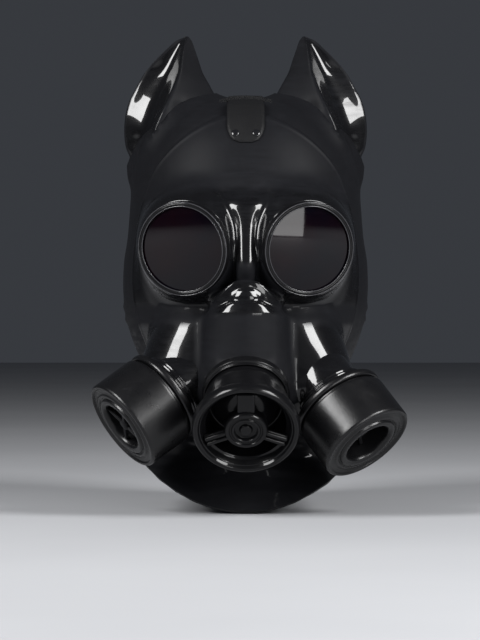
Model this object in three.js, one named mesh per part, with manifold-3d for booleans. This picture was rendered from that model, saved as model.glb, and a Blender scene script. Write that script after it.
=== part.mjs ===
// A hooded costume mask in gas mask style, moulded in black rubber: a hood over the whole head and neck, a face
// piece bonded over its front, two pointed ears, two round lenses, a front valve and two side filters.
// Millimetres and degrees, +Z up. The face looks along -Y, and left and right are as seen from the front.
// The origin is on the inner face of the crown, where the head carries the hood.
import * as THREE from "three";
import { mergeVertices } from "three/addons/utils/BufferGeometryUtils.js";
import Module from "manifold-3d";

const wasm = await Module();
wasm.setup();

// Clearances
const GAP = 0.3; // between two pieces that touch
const SEAT_GAP = 0.6; // between the hood and the face piece bonded on it

// Hood
const HOOD_WALL = 2;
const HEAD_HALF_WIDTH = 85.3; // over the wearer's ears
const FACE_DEPTH = 95; // from the upright axis through the ears to the brow
const BACK_DEPTH = 103; // from the same axis to the back of the head
const HOOD_HEIGHT = 281.7; // from the crown to the lowest point of the front hem
const HOOD_ROUNDNESS = 2.15; // exponent of the sections, 2 is an ellipse

// Sections of the hood from the crown to the hem, as shares of the sizes above: how far each lies below the crown
// at the front, side and back, its half width, and its reach to the front and to the back.
const HOOD_SECTIONS = [
  { front: 0, side: 0, back: 0, half: 0, fore: 0, aft: 0 },
  { front: 0.009, side: 0.009, back: 0.009, half: 0.35, fore: 0.42, aft: 0.45 },
  { front: 0.035, side: 0.035, back: 0.035, half: 0.61, fore: 0.65, aft: 0.68 },
  { front: 0.094, side: 0.094, back: 0.094, half: 0.8, fore: 0.83, aft: 0.87 },
  { front: 0.172, side: 0.172, back: 0.172, half: 0.925, fore: 0.94, aft: 0.97 },
  { front: 0.254, side: 0.254, back: 0.254, half: 0.942, fore: 0.99, aft: 1 },
  { front: 0.343, side: 0.343, back: 0.343, half: 0.965, fore: 0.995, aft: 1 },
  { front: 0.407, side: 0.407, back: 0.407, half: 0.996, fore: 0.98, aft: 0.98 },
  { front: 0.485, side: 0.485, back: 0.485, half: 1, fore: 0.97, aft: 0.94 },
  { front: 0.556, side: 0.556, back: 0.553, half: 0.966, fore: 0.965, aft: 0.88 },
  { front: 0.628, side: 0.623, back: 0.615, half: 0.89, fore: 0.935, aft: 0.8 },
  { front: 0.698, side: 0.681, back: 0.666, half: 0.8, fore: 0.87, aft: 0.73 },
  { front: 0.769, side: 0.727, back: 0.706, half: 0.735, fore: 0.775, aft: 0.68 },
  { front: 0.838, side: 0.767, back: 0.742, half: 0.72, fore: 0.71, aft: 0.67 },
  { front: 0.909, side: 0.805, back: 0.777, half: 0.78, fore: 0.74, aft: 0.7 },
  { front: 1, side: 0.838, back: 0.81, half: 0.95, fore: 0.93, aft: 0.81 },
];

// Face piece: an oval sheet wrapped round the front of the hood, and what is moulded in it
const MASK_WALL = 2.4;
const MASK_TOP = 13.7; // below the crown
const MASK_BOTTOM = 232.7;
const MASK_HALF_ANGLE = 58; // from the middle of the face to the edge, round the upright axis
const FACE_OPENING_SHARE = 0.84; // of the face piece's outline, cut through the hood behind it

const EYE_SPREAD = 0.475 * HEAD_HALF_WIDTH; // from the middle to each lens centre
const EYE_DROP = 107;
const EYE_STANDOFF = 23; // lens plane ahead of the hood
const EYE_TURN = 20; // outwards
const EYE_TILT = 9; // downwards
const LENS_RADIUS = 29;
const LENS_THICKNESS = 2.4;
const LENS_DOME = 2.2; // rise of the lens at its centre
const RIM_WIDTH = 2; // of the ring round each lens
const RIM_HEIGHT = 4.6;
const RIM_LIP = 0.8; // how far the ring reaches over the lens
const LENS_SEAT = 3; // width of the rubber ledge behind the lens
const CUP_SHOULDER = 38.5; // radius where the eye cup's cone meets its upright wall
const CUP_CONE = 8.5; // length of that cone
const CUP_DEPTH = 24; // from the lens plane into the face
const CUP_FOOT = 42;

const BRIDGE_RADIUS = 7;
const BRIDGE_TOP = 78.7; // below the crown
const LEDGE_TOP = 129.2; // first step of the nose
const LEDGE_HALF_WIDTH = { top: 13, foot: 15 };
const LEDGE_REACH = 22; // ahead of the hood
const MUZZLE_TOP = 142.2; // below the crown
const MUZZLE_HALF_WIDTH = { top: 19, foot: 28 };
const MUZZLE_REACH = 31; // ahead of the hood at its top
const MUZZLE_BOTTOM = 208.7;
const MUZZLE_CORNER = 0.6; // radius of its front corners, as a share of its half width
const MUZZLE_FOOT_REACH = 3; // of its foot ahead of the valve's root
const MUZZLE_INSET = 3; // of the body it stands on
const CHEEK_DROP = 172.7;
const CHEEK_SPREAD = 46;
const CHEEK_RADII = { x: 24, y: 34, z: 44 };
const CHEEK_INSET = 22; // its centre behind the hood's face
const CHIN_DROP = 207.7;
const CHIN_RADII = { x: 46, y: 32, z: 25 };
const CHIN_INSET = 18;

// Front valve, from the face piece outwards along its own axis
const VALVE_DROP = 202.2; // centre of its root, below the crown
const VALVE_STANDOFF = 34; // of that centre ahead of the hood
const VALVE_PITCH = 36; // downwards
const VALVE_SEAT_RADIUS = 29;
const COLLAR_RADIUS = 27.7;
const COLLAR_LENGTH = 5;
const VALVE_ROOT_RADIUS = 26.2;
const VALVE_MOUTH_RADIUS = 32.5;
const VALVE_LENGTH = 27;
const VALVE_WALL = 3;
const VALVE_FLOOR = 12; // depth of the chamber behind the cap
const CAP_RADIUS = 34.9;
const CAP_LENGTH = 8.5;
const CAP_RIM = 4.2;
const HUB_RADIUS = 14;
const SPOKE_WIDTH = 9.5;
const SPOKE_ANGLES = [90, 202, 338]; // round the cap, one at the top
const HUB_DISH_RADIUS = 9;
const HUB_BUTTON_RADIUS = 4;
const HUB_DISH_DEPTH = 3;

// Side filters, from the port's mouth outwards along each filter's own axis. The rubber ports give a little, so
// the two filters stand at their own angles, and out, ahead and below are shares of the three sizes before them.
const PORT_SPREAD = 0.655 * HEAD_HALF_WIDTH; // from the middle to the port's mouth
const PORT_STANDOFF = 14; // of the mouth ahead of the hood's front
const PORT_BELOW_VALVE = 3; // of the mouth below the valve's root
const FILTERS = [
  { side: "left", out: -0.938, ahead: 1, below: 0.17, turn: -63.7, pitch: 33.4 },
  { side: "right", out: 1.061, ahead: 1.1, below: 1.77, turn: 47.9, pitch: 44.9 },
];
const PORT_RADIUS = 22;
const PORT_BORE = 18;
const PORT_LENGTH = 30; // of the rubber neck, into the face piece
const PORT_RING_RADIUS = 25;
const PORT_RING_LENGTH = 6;
const CONNECTOR_LENGTH = 9;
const FILTER_RADIUS = 32;
const FILTER_LID = 5.6; // thickness of the lid on the port's side
const FILTER_GROOVE = 1.8;
const GROOVE_DEPTH = 2.2;
const DRUM_LENGTH = 30;
const DRUM_RIM = 2.6; // width of the raised rim round the front
const DRUM_RIM_HEIGHT = 1.4;
const INLET_RADIUS = 16;
const INLET_RING = 4.6; // width of the raised ring round the inlet
const INLET_RING_HEIGHT = 2.2;
const INLET_DEPTH = 13;
const GRILLE_BAR = 2.4;
const GRILLE_THICKNESS = 1.8;
const GRILLE_HUB = 4;
const GRILLE_DEPTH = { left: 0.6, right: 8 }; // below the front face

// Crown strap, from the forehead over the crown
const STRAP_HALF_WIDTH = 12.2;
const STRAP_THICKNESS = 1.8;
const STRAP_FRONT = 37; // the hood's level under its front end, below the crown
const STRAP_BACK = 34; // how far it runs behind the upright axis
const STRAP_CORNER = 8;
const STUD_RADIUS = 3;
const STUD_HEIGHT = 1.4;
const STUD_SPREAD = 6.8;
const STUD_DROP = 31.5; // the hood's level under them, below the crown

// Ears
const EAR_TIP = 42.3; // above the crown
const EAR_FOOT = 54.7; // below the crown
const EAR_INNER = 17; // from the middle to the inner edge at the crown's height
const EAR_REACH = 85.5; // from the middle to the outer edge
const EAR_DEPTH = 50; // from the front ridge at the foot to the back

// Sections of the right ear from its foot to its tip. height is a share of the way from the foot to the tip.
// Across values run from 0 at EAR_INNER to 1 at EAR_REACH, and deep values are shares of EAR_DEPTH, negative to
// the front: the inner edge, the front ridge, the floor of the bowl, the outer edge and the back.
const EAR_SECTIONS = [
  { height: 0, inX: 0.6, inY: -0.35, ridgeX: 0.78, ridgeY: -0.55, bowlX: 0.84, bowlY: -0.42, outX: 0.87, outY: -0.3, backX: 0.72, backY: 0 },
  { height: 0.12, inX: 0.25, inY: -0.5, ridgeX: 0.73, ridgeY: -0.78, bowlX: 0.84, bowlY: -0.5, outX: 0.93, outY: -0.34, backX: 0.6, backY: 0.2 },
  { height: 0.21, inX: 0.05, inY: -0.58, ridgeX: 0.695, ridgeY: -0.9, bowlX: 0.86, bowlY: -0.42, outX: 0.99, outY: -0.36, backX: 0.55, backY: 0.3 },
  { height: 0.33, inX: -0.05, inY: -0.56, ridgeX: 0.655, ridgeY: -0.92, bowlX: 0.83, bowlY: -0.12, outX: 1.01, outY: -0.34, backX: 0.52, backY: 0.34 },
  { height: 0.45, inX: -0.04, inY: -0.5, ridgeX: 0.58, ridgeY: -0.88, bowlX: 0.78, bowlY: 0.02, outX: 0.995, outY: -0.3, backX: 0.5, backY: 0.34 },
  { height: 0.557, inX: 0.02, inY: -0.38, ridgeX: 0.51, ridgeY: -0.78, bowlX: 0.72, bowlY: 0.06, outX: 0.95, outY: -0.24, backX: 0.48, backY: 0.3 },
  { height: 0.66, inX: 0.1, inY: -0.27, ridgeX: 0.45, ridgeY: -0.65, bowlX: 0.65, bowlY: 0.04, outX: 0.87, outY: -0.2, backX: 0.46, backY: 0.24 },
  { height: 0.75, inX: 0.175, inY: -0.2, ridgeX: 0.41, ridgeY: -0.54, bowlX: 0.58, bowlY: -0.02, outX: 0.79, outY: -0.18, backX: 0.44, backY: 0.16 },
  { height: 0.845, inX: 0.225, inY: -0.18, ridgeX: 0.39, ridgeY: -0.44, bowlX: 0.51, bowlY: -0.1, outX: 0.665, outY: -0.17, backX: 0.42, backY: 0.07 },
  { height: 0.92, inX: 0.265, inY: -0.19, ridgeX: 0.375, ridgeY: -0.36, bowlX: 0.45, bowlY: -0.16, outX: 0.55, outY: -0.17, backX: 0.4, backY: -0.02 },
  { height: 0.975, inX: 0.295, inY: -0.19, ridgeX: 0.36, ridgeY: -0.29, bowlX: 0.4, bowlY: -0.2, outX: 0.46, outY: -0.18, backX: 0.37, backY: -0.09 },
  { height: 1, inX: 0.32, inY: -0.2, ridgeX: 0.35, ridgeY: -0.24, bowlX: 0.37, bowlY: -0.2, outX: 0.39, outY: -0.18, backX: 0.355, backY: -0.14 },
];

// Facets
const HOOD_SIDES = 30;
const HOOD_STEPS = 17;
const MASK_CELLS = 20;
const ROUND_SIDES = 22;
const STRAP_STEPS = 12;
const STRAP_COLUMNS = 4;

const FRONT = new THREE.Vector3(0, -1, 0);
const radians = THREE.MathUtils.degToRad;

// Solids

// A closed triangle mesh from points and triangles, turned so that its faces point outwards.
function solidFromTriangles(points, triangles) {
  let volume = 0;
  for (let i = 0; i < triangles.length; i += 3) {
    const [a, b, c] = [points[triangles[i]], points[triangles[i + 1]], points[triangles[i + 2]]];
    volume += a.dot(new THREE.Vector3().crossVectors(b, c));
  }
  const geometry = new THREE.BufferGeometry().setFromPoints(points);
  geometry.setIndex(volume > 0 ? triangles : [...triangles].reverse());
  return solidFromGeometry(geometry);
}

function solidFromGeometry(geometry) {
  const bare = geometry.clone();
  bare.deleteAttribute("normal");
  bare.deleteAttribute("uv");
  const merged = mergeVertices(bare, 1e-4);
  return new wasm.Manifold(
    new wasm.Mesh({
      numProp: 3,
      vertProperties: new Float32Array(merged.attributes.position.array),
      triVerts: new Uint32Array(merged.index.array),
    }),
  );
}

function geometryFromSolid(solid) {
  const mesh = solid.getMesh();
  const geometry = new THREE.BufferGeometry();
  geometry.setAttribute("position", new THREE.BufferAttribute(mesh.vertProperties, 3));
  geometry.setIndex(new THREE.BufferAttribute(mesh.triVerts, 1));
  return geometry;
}

// A skin over rings of points. A ring of one point closes an end to a tip, and any other end is closed by a fan.
function loft(rings) {
  const points = [];
  const triangles = [];
  const starts = rings.map((ring) => {
    points.push(...ring);
    return points.length - ring.length;
  });
  for (let r = 0; r < rings.length - 1; r++) {
    const [a, b] = [starts[r], starts[r + 1]];
    const [na, nb] = [rings[r].length, rings[r + 1].length];
    const sides = Math.max(na, nb);
    for (let i = 0; i < sides; i++) {
      const j = (i + 1) % sides;
      if (nb > 1) triangles.push(a + (i % na), b + i, b + j);
      if (na > 1) triangles.push(a + i, b + (nb > 1 ? j : 0), a + j);
    }
  }
  for (const [r, flip] of [
    [0, false],
    [rings.length - 1, true],
  ]) {
    const ring = rings[r];
    if (ring.length < 3) continue;
    const centre = ring.reduce((sum, p) => sum.add(p), new THREE.Vector3()).divideScalar(ring.length);
    points.push(centre);
    ring.forEach((_, i) => {
      const pair = [starts[r] + i, starts[r] + ((i + 1) % ring.length)];
      if (flip) pair.reverse();
      triangles.push(points.length - 1, ...pair);
    });
  }
  return solidFromTriangles(points, triangles);
}

// A round solid about +Z from [radius, height] pairs that run anticlockwise round its section.
function turned(profile, sides = ROUND_SIDES) {
  const points = [...profile, profile[0]].map(([radius, height]) => new THREE.Vector2(radius, height));
  const geometry = new THREE.LatheGeometry(points, sides);
  geometry.rotateX(Math.PI / 2);
  return solidFromTriangles(...cornersOf(geometry));
}

function cornersOf(geometry) {
  const bare = geometry.clone();
  bare.deleteAttribute("normal");
  bare.deleteAttribute("uv");
  const merged = mergeVertices(bare, 1e-4);
  const position = merged.attributes.position;
  const points = Array.from({ length: position.count }, (_, i) => new THREE.Vector3().fromBufferAttribute(position, i));
  const whole = [];
  const index = merged.index.array;
  for (let i = 0; i < index.length; i += 3) {
    const corner = [index[i], index[i + 1], index[i + 2]];
    if (new Set(corner).size === 3) whole.push(...corner);
  }
  return [points, whole];
}

function rod(radius, from, to) {
  return turned([
    [0, from],
    [radius, from],
    [radius, to],
    [0, to],
  ]);
}

function placed(solid, frame) {
  return solid.transform(frame.elements);
}

// The frame whose +Z runs out of the face, turned sideways and pitched downwards, at a point.
function outwardFrame(position, turn, pitch) {
  const [t, p] = [radians(turn), radians(pitch)];
  const axis = new THREE.Vector3(Math.sin(t) * Math.cos(p), -Math.cos(t) * Math.cos(p), -Math.sin(p));
  const across = new THREE.Vector3(0, 0, 1).cross(axis).normalize();
  const up = axis.clone().cross(across);
  return new THREE.Matrix4().makeBasis(across, up, axis).setPosition(position);
}

// Hood surface

// The smooth value of one column of a table at a place between its rows. At the first row, the crown, the curve
// runs on into its mirror image, so the crown is round.
function smoothColumn(rows, name, at, mirror = 0) {
  const last = rows.length - 1;
  const i = Math.min(Math.max(Math.floor(at), 0), last - 1);
  const t = at - i;
  const value = (k) => {
    if (k < 0) return mirror ? mirror * rows[-k][name] : 2 * rows[0][name] - rows[-k][name];
    return k > last ? 2 * rows[last][name] - rows[2 * last - k][name] : rows[k][name];
  };
  const [a, b, c, d] = [value(i - 1), value(i), value(i + 1), value(i + 2)];
  return b + 0.5 * t * (c - a + t * (2 * a - 5 * b + 4 * c - d + t * (3 * (b - c) + d - a)));
}

// The point of the hood's outer face on section `at`, in the direction `angle` from the face round the axis.
function hoodPoint(angle, at) {
  const [s, c] = [Math.sin(angle), Math.cos(angle)];
  const ahead = c > 0;
  const half = HEAD_HALF_WIDTH * smoothColumn(HOOD_SECTIONS, "half", at, -1);
  const depth = ahead
    ? FACE_DEPTH * smoothColumn(HOOD_SECTIONS, "fore", at, -1)
    : BACK_DEPTH * smoothColumn(HOOD_SECTIONS, "aft", at, -1);
  const side = smoothColumn(HOOD_SECTIONS, "side", at, 1);
  const end = smoothColumn(HOOD_SECTIONS, ahead ? "front" : "back", at, 1);
  const reach =
    ((Math.abs(s) / half) ** HOOD_ROUNDNESS + (Math.abs(c) / depth) ** HOOD_ROUNDNESS) ** (-1 / HOOD_ROUNDNESS);
  return new THREE.Vector3(reach * s, -reach * c, -HOOD_HEIGHT * (side + (end - side) * c * c));
}

function hoodNormal(angle, at) {
  const step = 1e-3;
  const along = hoodPoint(angle, at + step).sub(hoodPoint(angle, at - step));
  const round = hoodPoint(angle + step, at).sub(hoodPoint(angle - step, at));
  return along.cross(round).normalize();
}

// The section where `reached` becomes true, found by halving.
function halve(low, high, reached) {
  for (let i = 0; i < 40; i++) {
    const middle = (low + high) / 2;
    if (reached(middle)) high = middle;
    else low = middle;
  }
  return (low + high) / 2;
}

// The hood's distance from the upright axis, at an angle and a height.
function hoodRadius(angle, z) {
  const at = halve(0.01, HOOD_SECTIONS.length - 1, (k) => hoodPoint(angle, k).z < z);
  const p = hoodPoint(angle, at);
  return Math.hypot(p.x, p.y);
}

// How far the hood's face lies ahead of the axis, at a sideways distance and a height.
function hoodFront(x, z) {
  const angle = halve(0, Math.PI / 2, (a) => hoodRadius(a, z) * Math.sin(a) > Math.abs(x));
  return hoodRadius(angle, z) * Math.cos(angle);
}

function hoodRings(offset, count) {
  const rings = [];
  for (let j = 1; j <= count; j++) {
    const at = ((HOOD_SECTIONS.length - 1) * j) / count;
    rings.push(
      Array.from({ length: HOOD_SIDES }, (_, i) => {
        const angle = (2 * Math.PI * i) / HOOD_SIDES;
        return hoodPoint(angle, at).addScaledVector(hoodNormal(angle, at), offset);
      }),
    );
  }
  return rings;
}

function hoodShell() {
  const outer = [[new THREE.Vector3()], ...hoodRings(0, HOOD_STEPS)];
  const inner = [[new THREE.Vector3(0, 0, -HOOD_WALL)], ...hoodRings(-HOOD_WALL, HOOD_STEPS)];
  return loft([...outer, ...inner.reverse()]);
}

// The hood filled in and grown by a clearance: what sits on the hood is cut by it.
function hoodBlock(grow) {
  return loft([[new THREE.Vector3(0, 0, grow)], ...hoodRings(grow, HOOD_STEPS)]);
}

// Face piece surface

const MASK_MIDDLE = -(MASK_TOP + MASK_BOTTOM) / 2;
const MASK_HALF_HEIGHT = (MASK_BOTTOM - MASK_TOP) / 2;

// A solid between two distances from the upright axis, inside the face piece's outline scaled by `scale`.
// The square grid is pressed to a disc, so its edge is the outline itself.
function outlineBlock(near, far, scale) {
  const points = [];
  const triangles = [];
  const row = MASK_CELLS + 1;
  for (const reach of [far, near]) {
    for (let j = 0; j < row; j++) {
      for (let i = 0; i < row; i++) {
        const [u, v] = [(2 * i) / MASK_CELLS - 1, (2 * j) / MASK_CELLS - 1];
        const angle = scale * radians(MASK_HALF_ANGLE) * u * Math.sqrt(1 - (v * v) / 2);
        const z = MASK_MIDDLE + scale * MASK_HALF_HEIGHT * v * Math.sqrt(1 - (u * u) / 2);
        const r = reach(angle, z);
        points.push(new THREE.Vector3(r * Math.sin(angle), -r * Math.cos(angle), z));
      }
    }
  }
  const back = row * row;
  const quad = (a, b, c, d) => triangles.push(a, b, c, a, c, d);
  for (let j = 0; j < MASK_CELLS; j++) {
    for (let i = 0; i < MASK_CELLS; i++) {
      const corners = [j * row + i, j * row + i + 1, (j + 1) * row + i + 1, (j + 1) * row + i];
      quad(...corners);
      quad(...corners.map((k) => k + back).reverse());
    }
  }
  const edge = [];
  for (let i = 0; i < MASK_CELLS; i++) edge.push(i);
  for (let j = 0; j < MASK_CELLS; j++) edge.push(j * row + MASK_CELLS);
  for (let i = MASK_CELLS; i > 0; i--) edge.push(MASK_CELLS * row + i);
  for (let j = MASK_CELLS; j > 0; j--) edge.push(j * row);
  edge.forEach((a, k) => {
    const b = edge[(k + 1) % edge.length];
    quad(a, a + back, b + back, b);
  });
  return solidFromTriangles(points, triangles);
}

function smoothLower(a, b, blend) {
  const h = Math.max(blend - Math.abs(a - b), 0) / blend;
  return Math.min(a, b) - h * h * blend * 0.25;
}

function smoothUpper(a, b, blend) {
  return -smoothLower(-a, -b, blend);
}

function ellipsoidField(p, centre, radii) {
  const q = p.clone().sub(centre);
  const scaled = Math.hypot(q.x / radii.x, q.y / radii.y, q.z / radii.z);
  const steep = Math.hypot(q.x / radii.x ** 2, q.y / radii.y ** 2, q.z / radii.z ** 2);
  return steep < 1e-9 ? -Math.min(radii.x, radii.y, radii.z) : (scaled * (scaled - 1)) / steep;
}

function capsuleField(p, from, to, radius) {
  const line = new THREE.Line3(from, to);
  return p.distanceTo(line.closestPointToPoint(p, true, new THREE.Vector3())) - radius;
}

// An upright column with a rounded front, rounded over at its top, down to the muzzle's foot.
function columnField(p, width, ahead, top) {
  const fall = THREE.MathUtils.clamp((top - p.z) / (top + MUZZLE_BOTTOM), 0, 1);
  const halfWidth = THREE.MathUtils.lerp(width.top, width.foot, fall);
  const corner = halfWidth * MUZZLE_CORNER;
  const qx = Math.abs(p.x) - (halfWidth - corner);
  const qy = -p.y - (ahead - corner);
  const wall = Math.hypot(Math.max(qx, 0), Math.max(qy, 0)) + Math.min(Math.max(qx, qy), 0) - corner;
  return smoothUpper(smoothUpper(wall, p.z - top, 6), -MUZZLE_BOTTOM - p.z, 6);
}

// The same column as a solid, with its front leaning from one reach at the top to another at its foot.
function column(width, reachTop, reachFoot, top, foot, roundOver) {
  const rings = [];
  const levels = [0, 0.3, 1].map((share) => ({
    z: -top - roundOver * share,
    inset: roundOver * (1 - Math.sqrt(1 - (1 - share) ** 2)),
  }));
  for (const { z, inset } of [...levels, { z: -foot, inset: 0 }]) {
    const share = (-z - top) / (foot - top);
    const ahead = THREE.MathUtils.lerp(reachTop, reachFoot, share) - inset;
    const half = THREE.MathUtils.lerp(width.top, width.foot, share) - inset;
    const round = half * MUZZLE_CORNER;
    const arc = Array.from({ length: 5 }, (_, i) => (Math.PI / 2) * (i / 4));
    const side = arc.map((a) => [half - round + round * Math.cos(a), ahead - round + round * Math.sin(a)]);
    const back = hoodFront(0, z) - 6;
    const plan = [[half, back], ...side, ...side.map(([x, y]) => [-x, y]).reverse(), [-half, back]];
    rings.push(plan.map(([x, y]) => new THREE.Vector3(x, -y, z)));
  }
  return loft(rings);
}

const eyeFrames = { left: -1, right: 1 };
for (const side of Object.keys(eyeFrames)) {
  const x = eyeFrames[side] * EYE_SPREAD;
  const y = -hoodFront(x, -EYE_DROP) - EYE_STANDOFF;
  eyeFrames[side] = outwardFrame(new THREE.Vector3(x, y, -EYE_DROP), Math.sign(x) * EYE_TURN, EYE_TILT);
}
const valveRoot = new THREE.Vector3(0, -hoodFront(0, -VALVE_DROP) - VALVE_STANDOFF, -VALVE_DROP);
const valveFrame = outwardFrame(valveRoot, 0, VALVE_PITCH);
for (const filter of FILTERS) {
  const y = -hoodFront(0, -VALVE_DROP) - filter.ahead * PORT_STANDOFF;
  const mouth = new THREE.Vector3(filter.out * PORT_SPREAD, y, -VALVE_DROP - filter.below * PORT_BELOW_VALVE);
  filter.frame = outwardFrame(mouth, filter.turn, filter.pitch);
}
const cheekFront = hoodFront(CHEEK_SPREAD, -CHEEK_DROP);
const cheeks = [-1, 1].map((s) => new THREE.Vector3(s * CHEEK_SPREAD, -cheekFront + CHEEK_INSET, -CHEEK_DROP));
const chin = new THREE.Vector3(0, -hoodFront(0, -CHIN_DROP) + CHIN_INSET, -CHIN_DROP);
const bridgeFoot = new THREE.Vector3(0, -hoodFront(0, -LEDGE_TOP) - BRIDGE_RADIUS, -LEDGE_TOP);
const bridgeHead = new THREE.Vector3(0, -hoodFront(0, -BRIDGE_TOP), -BRIDGE_TOP);
const browFront = hoodFront(0, -LEDGE_TOP);
const valveBack = valveRoot.clone().applyMatrix4(new THREE.Matrix4().makeTranslation(0, 40, 16));

// Below zero inside the face piece, above it outside, and about a distance in between.
function maskField(p, base) {
  let field = base;
  for (const frame of Object.values(eyeFrames)) {
    const q = p.clone().applyMatrix4(frame.clone().invert());
    const cone = (Math.hypot(q.x, q.y) - CUP_FOOT - (0.25 * (-CUP_DEPTH - q.z)) / 1) * 0.97;
    field = smoothLower(field, smoothUpper(cone, q.z + CUP_CONE + 4, 6), 10);
  }
  field = smoothLower(field, capsuleField(p, bridgeHead, bridgeFoot, BRIDGE_RADIUS), 9);
  for (const cheek of cheeks) field = smoothLower(field, ellipsoidField(p, cheek, CHEEK_RADII), 12);
  field = smoothLower(field, ellipsoidField(p, chin, CHIN_RADII), 14);
  for (const filter of FILTERS) {
    const mouth = new THREE.Vector3().setFromMatrixPosition(filter.frame);
    const inner = new THREE.Vector3(0, 0, -PORT_LENGTH).applyMatrix4(filter.frame);
    const outer = mouth.clone().lerp(inner, (PORT_RING_LENGTH + PORT_RADIUS) / PORT_LENGTH);
    field = smoothLower(field, capsuleField(p, inner, outer, PORT_RADIUS), 12);
  }
  field = smoothLower(field, capsuleField(p, valveBack, valveRoot, VALVE_SEAT_RADIUS * 0.9), 8);
  const top = -MUZZLE_TOP - MUZZLE_INSET;
  const muzzle = columnField(p, MUZZLE_HALF_WIDTH, browFront + MUZZLE_REACH - MUZZLE_INSET, top) + MUZZLE_INSET;
  const ledge = columnField(p, LEDGE_HALF_WIDTH, browFront + LEDGE_REACH - 1, -LEDGE_TOP - 1) + 1;
  return smoothLower(smoothLower(field, ledge, 8), muzzle, 12);
}

// The face piece's outer distance from the upright axis: the first point inside it on the way in from outside.
const reachStore = new Map();
function maskReach(angle, z) {
  const key = angle.toFixed(5) + "," + z.toFixed(3);
  if (reachStore.has(key)) return reachStore.get(key);
  const base = hoodRadius(angle, z) + SEAT_GAP + MASK_WALL;
  const inside = (r) => maskField(new THREE.Vector3(r * Math.sin(angle), -r * Math.cos(angle), z), r - base) < 0;
  let r = base + 90;
  while (r > base && !inside(r)) r -= 1;
  const reach = r <= base ? base : halve(r, r + 1, (k) => !inside(k));
  reachStore.set(key, reach);
  return reach;
}

// The face piece's inner distance: its wall is measured square to the surface.
function maskInside(angle, z) {
  const step = 1;
  const here = maskReach(angle, z);
  const slopeRound = (maskReach(angle + step / here, z) - maskReach(angle - step / here, z)) / (2 * step);
  const slopeUp = (maskReach(angle, z + step) - maskReach(angle, z - step)) / (2 * step);
  const wall = MASK_WALL * Math.min(Math.hypot(1, slopeRound, slopeUp), 3);
  return Math.max(here - wall, hoodRadius(angle, z) + SEAT_GAP);
}

function facePiece() {
  const cupProfile = [
    [0, -CUP_DEPTH],
    [CUP_FOOT, -CUP_DEPTH],
    [CUP_SHOULDER, -CUP_CONE],
    [LENS_RADIUS + RIM_WIDTH + 1.5, 0],
    [0, 0],
  ];
  let solid = outlineBlock((angle, z) => hoodRadius(angle, z) / 3, maskReach, 1);
  for (const frame of Object.values(eyeFrames)) solid = solid.add(placed(turned(cupProfile), frame));
  for (const filter of FILTERS) solid = solid.add(placed(rod(PORT_RADIUS, -PORT_LENGTH, 0), filter.frame));
  solid = solid.add(placed(rod(VALVE_SEAT_RADIUS, -PORT_LENGTH, 0), valveFrame));
  const [ledgeReach, muzzleReach] = [browFront + LEDGE_REACH, browFront + MUZZLE_REACH];
  solid = solid.add(column(LEDGE_HALF_WIDTH, ledgeReach, ledgeReach + 4, LEDGE_TOP, MUZZLE_TOP + 12, 4));
  const muzzleFoot = -valveRoot.y + MUZZLE_FOOT_REACH;
  solid = solid.add(column(MUZZLE_HALF_WIDTH, muzzleReach, muzzleFoot, MUZZLE_TOP, MUZZLE_BOTTOM, 7));
  solid = solid.subtract(outlineBlock((angle, z) => hoodRadius(angle, z) / 4, maskInside, 1.02));
  for (const frame of Object.values(eyeFrames)) {
    solid = solid.subtract(placed(rod(LENS_RADIUS - LENS_SEAT, -2 * CUP_DEPTH, 1), frame));
    solid = solid.subtract(placed(rod(LENS_RADIUS + RIM_WIDTH + 3, 0, CUP_DEPTH), frame));
  }
  const ringSeat = turned([
    [PORT_RADIUS, -PORT_RING_LENGTH - GAP],
    [PORT_RING_RADIUS + GAP, -PORT_RING_LENGTH - GAP],
    [PORT_RING_RADIUS + GAP, 1],
    [PORT_RADIUS, 1],
  ]);
  for (const { frame } of FILTERS) {
    solid = solid.subtract(placed(rod(PORT_BORE, -2 * PORT_LENGTH, 1), frame));
    solid = solid.subtract(placed(ringSeat, frame)).subtract(placed(rod(FILTER_RADIUS + 1, 0, 2 * DRUM_LENGTH), frame));
  }
  solid = solid.subtract(placed(rod(CAP_RADIUS, 0, 2 * VALVE_LENGTH), valveFrame));
  return solid.subtract(hoodBlock(GAP));
}

// Lenses and their rims, about +Z with the lens plane at 0

function lens() {
  const rings = 3;
  const domed = Array.from({ length: rings + 1 }, (_, i) => {
    const share = 1 - i / rings;
    return [LENS_RADIUS * share, GAP + LENS_THICKNESS + LENS_DOME * (1 - share * share)];
  });
  return turned([[0, GAP], [LENS_RADIUS, GAP], ...domed]);
}

function lensRim() {
  const outer = LENS_RADIUS + RIM_WIDTH;
  const overLens = GAP * 2 + LENS_THICKNESS + 0.2;
  return turned([
    [LENS_RADIUS + GAP, GAP],
    [outer, GAP],
    [outer, RIM_HEIGHT - 0.9],
    [outer - 0.9, RIM_HEIGHT],
    [LENS_RADIUS - RIM_LIP, RIM_HEIGHT],
    [LENS_RADIUS - RIM_LIP, overLens],
    [LENS_RADIUS + GAP, overLens],
  ]);
}

// Front valve, about +Z with the face piece's seat at 0

function valveCollar() {
  const inner = VALVE_ROOT_RADIUS + GAP;
  return turned([
    [inner, GAP],
    [COLLAR_RADIUS + 0.6, GAP],
    [COLLAR_RADIUS + 1.2, COLLAR_LENGTH * 0.35],
    [COLLAR_RADIUS + 0.4, COLLAR_LENGTH * 0.75],
    [COLLAR_RADIUS - 0.4, COLLAR_LENGTH],
    [inner, COLLAR_LENGTH],
  ]);
}

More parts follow.
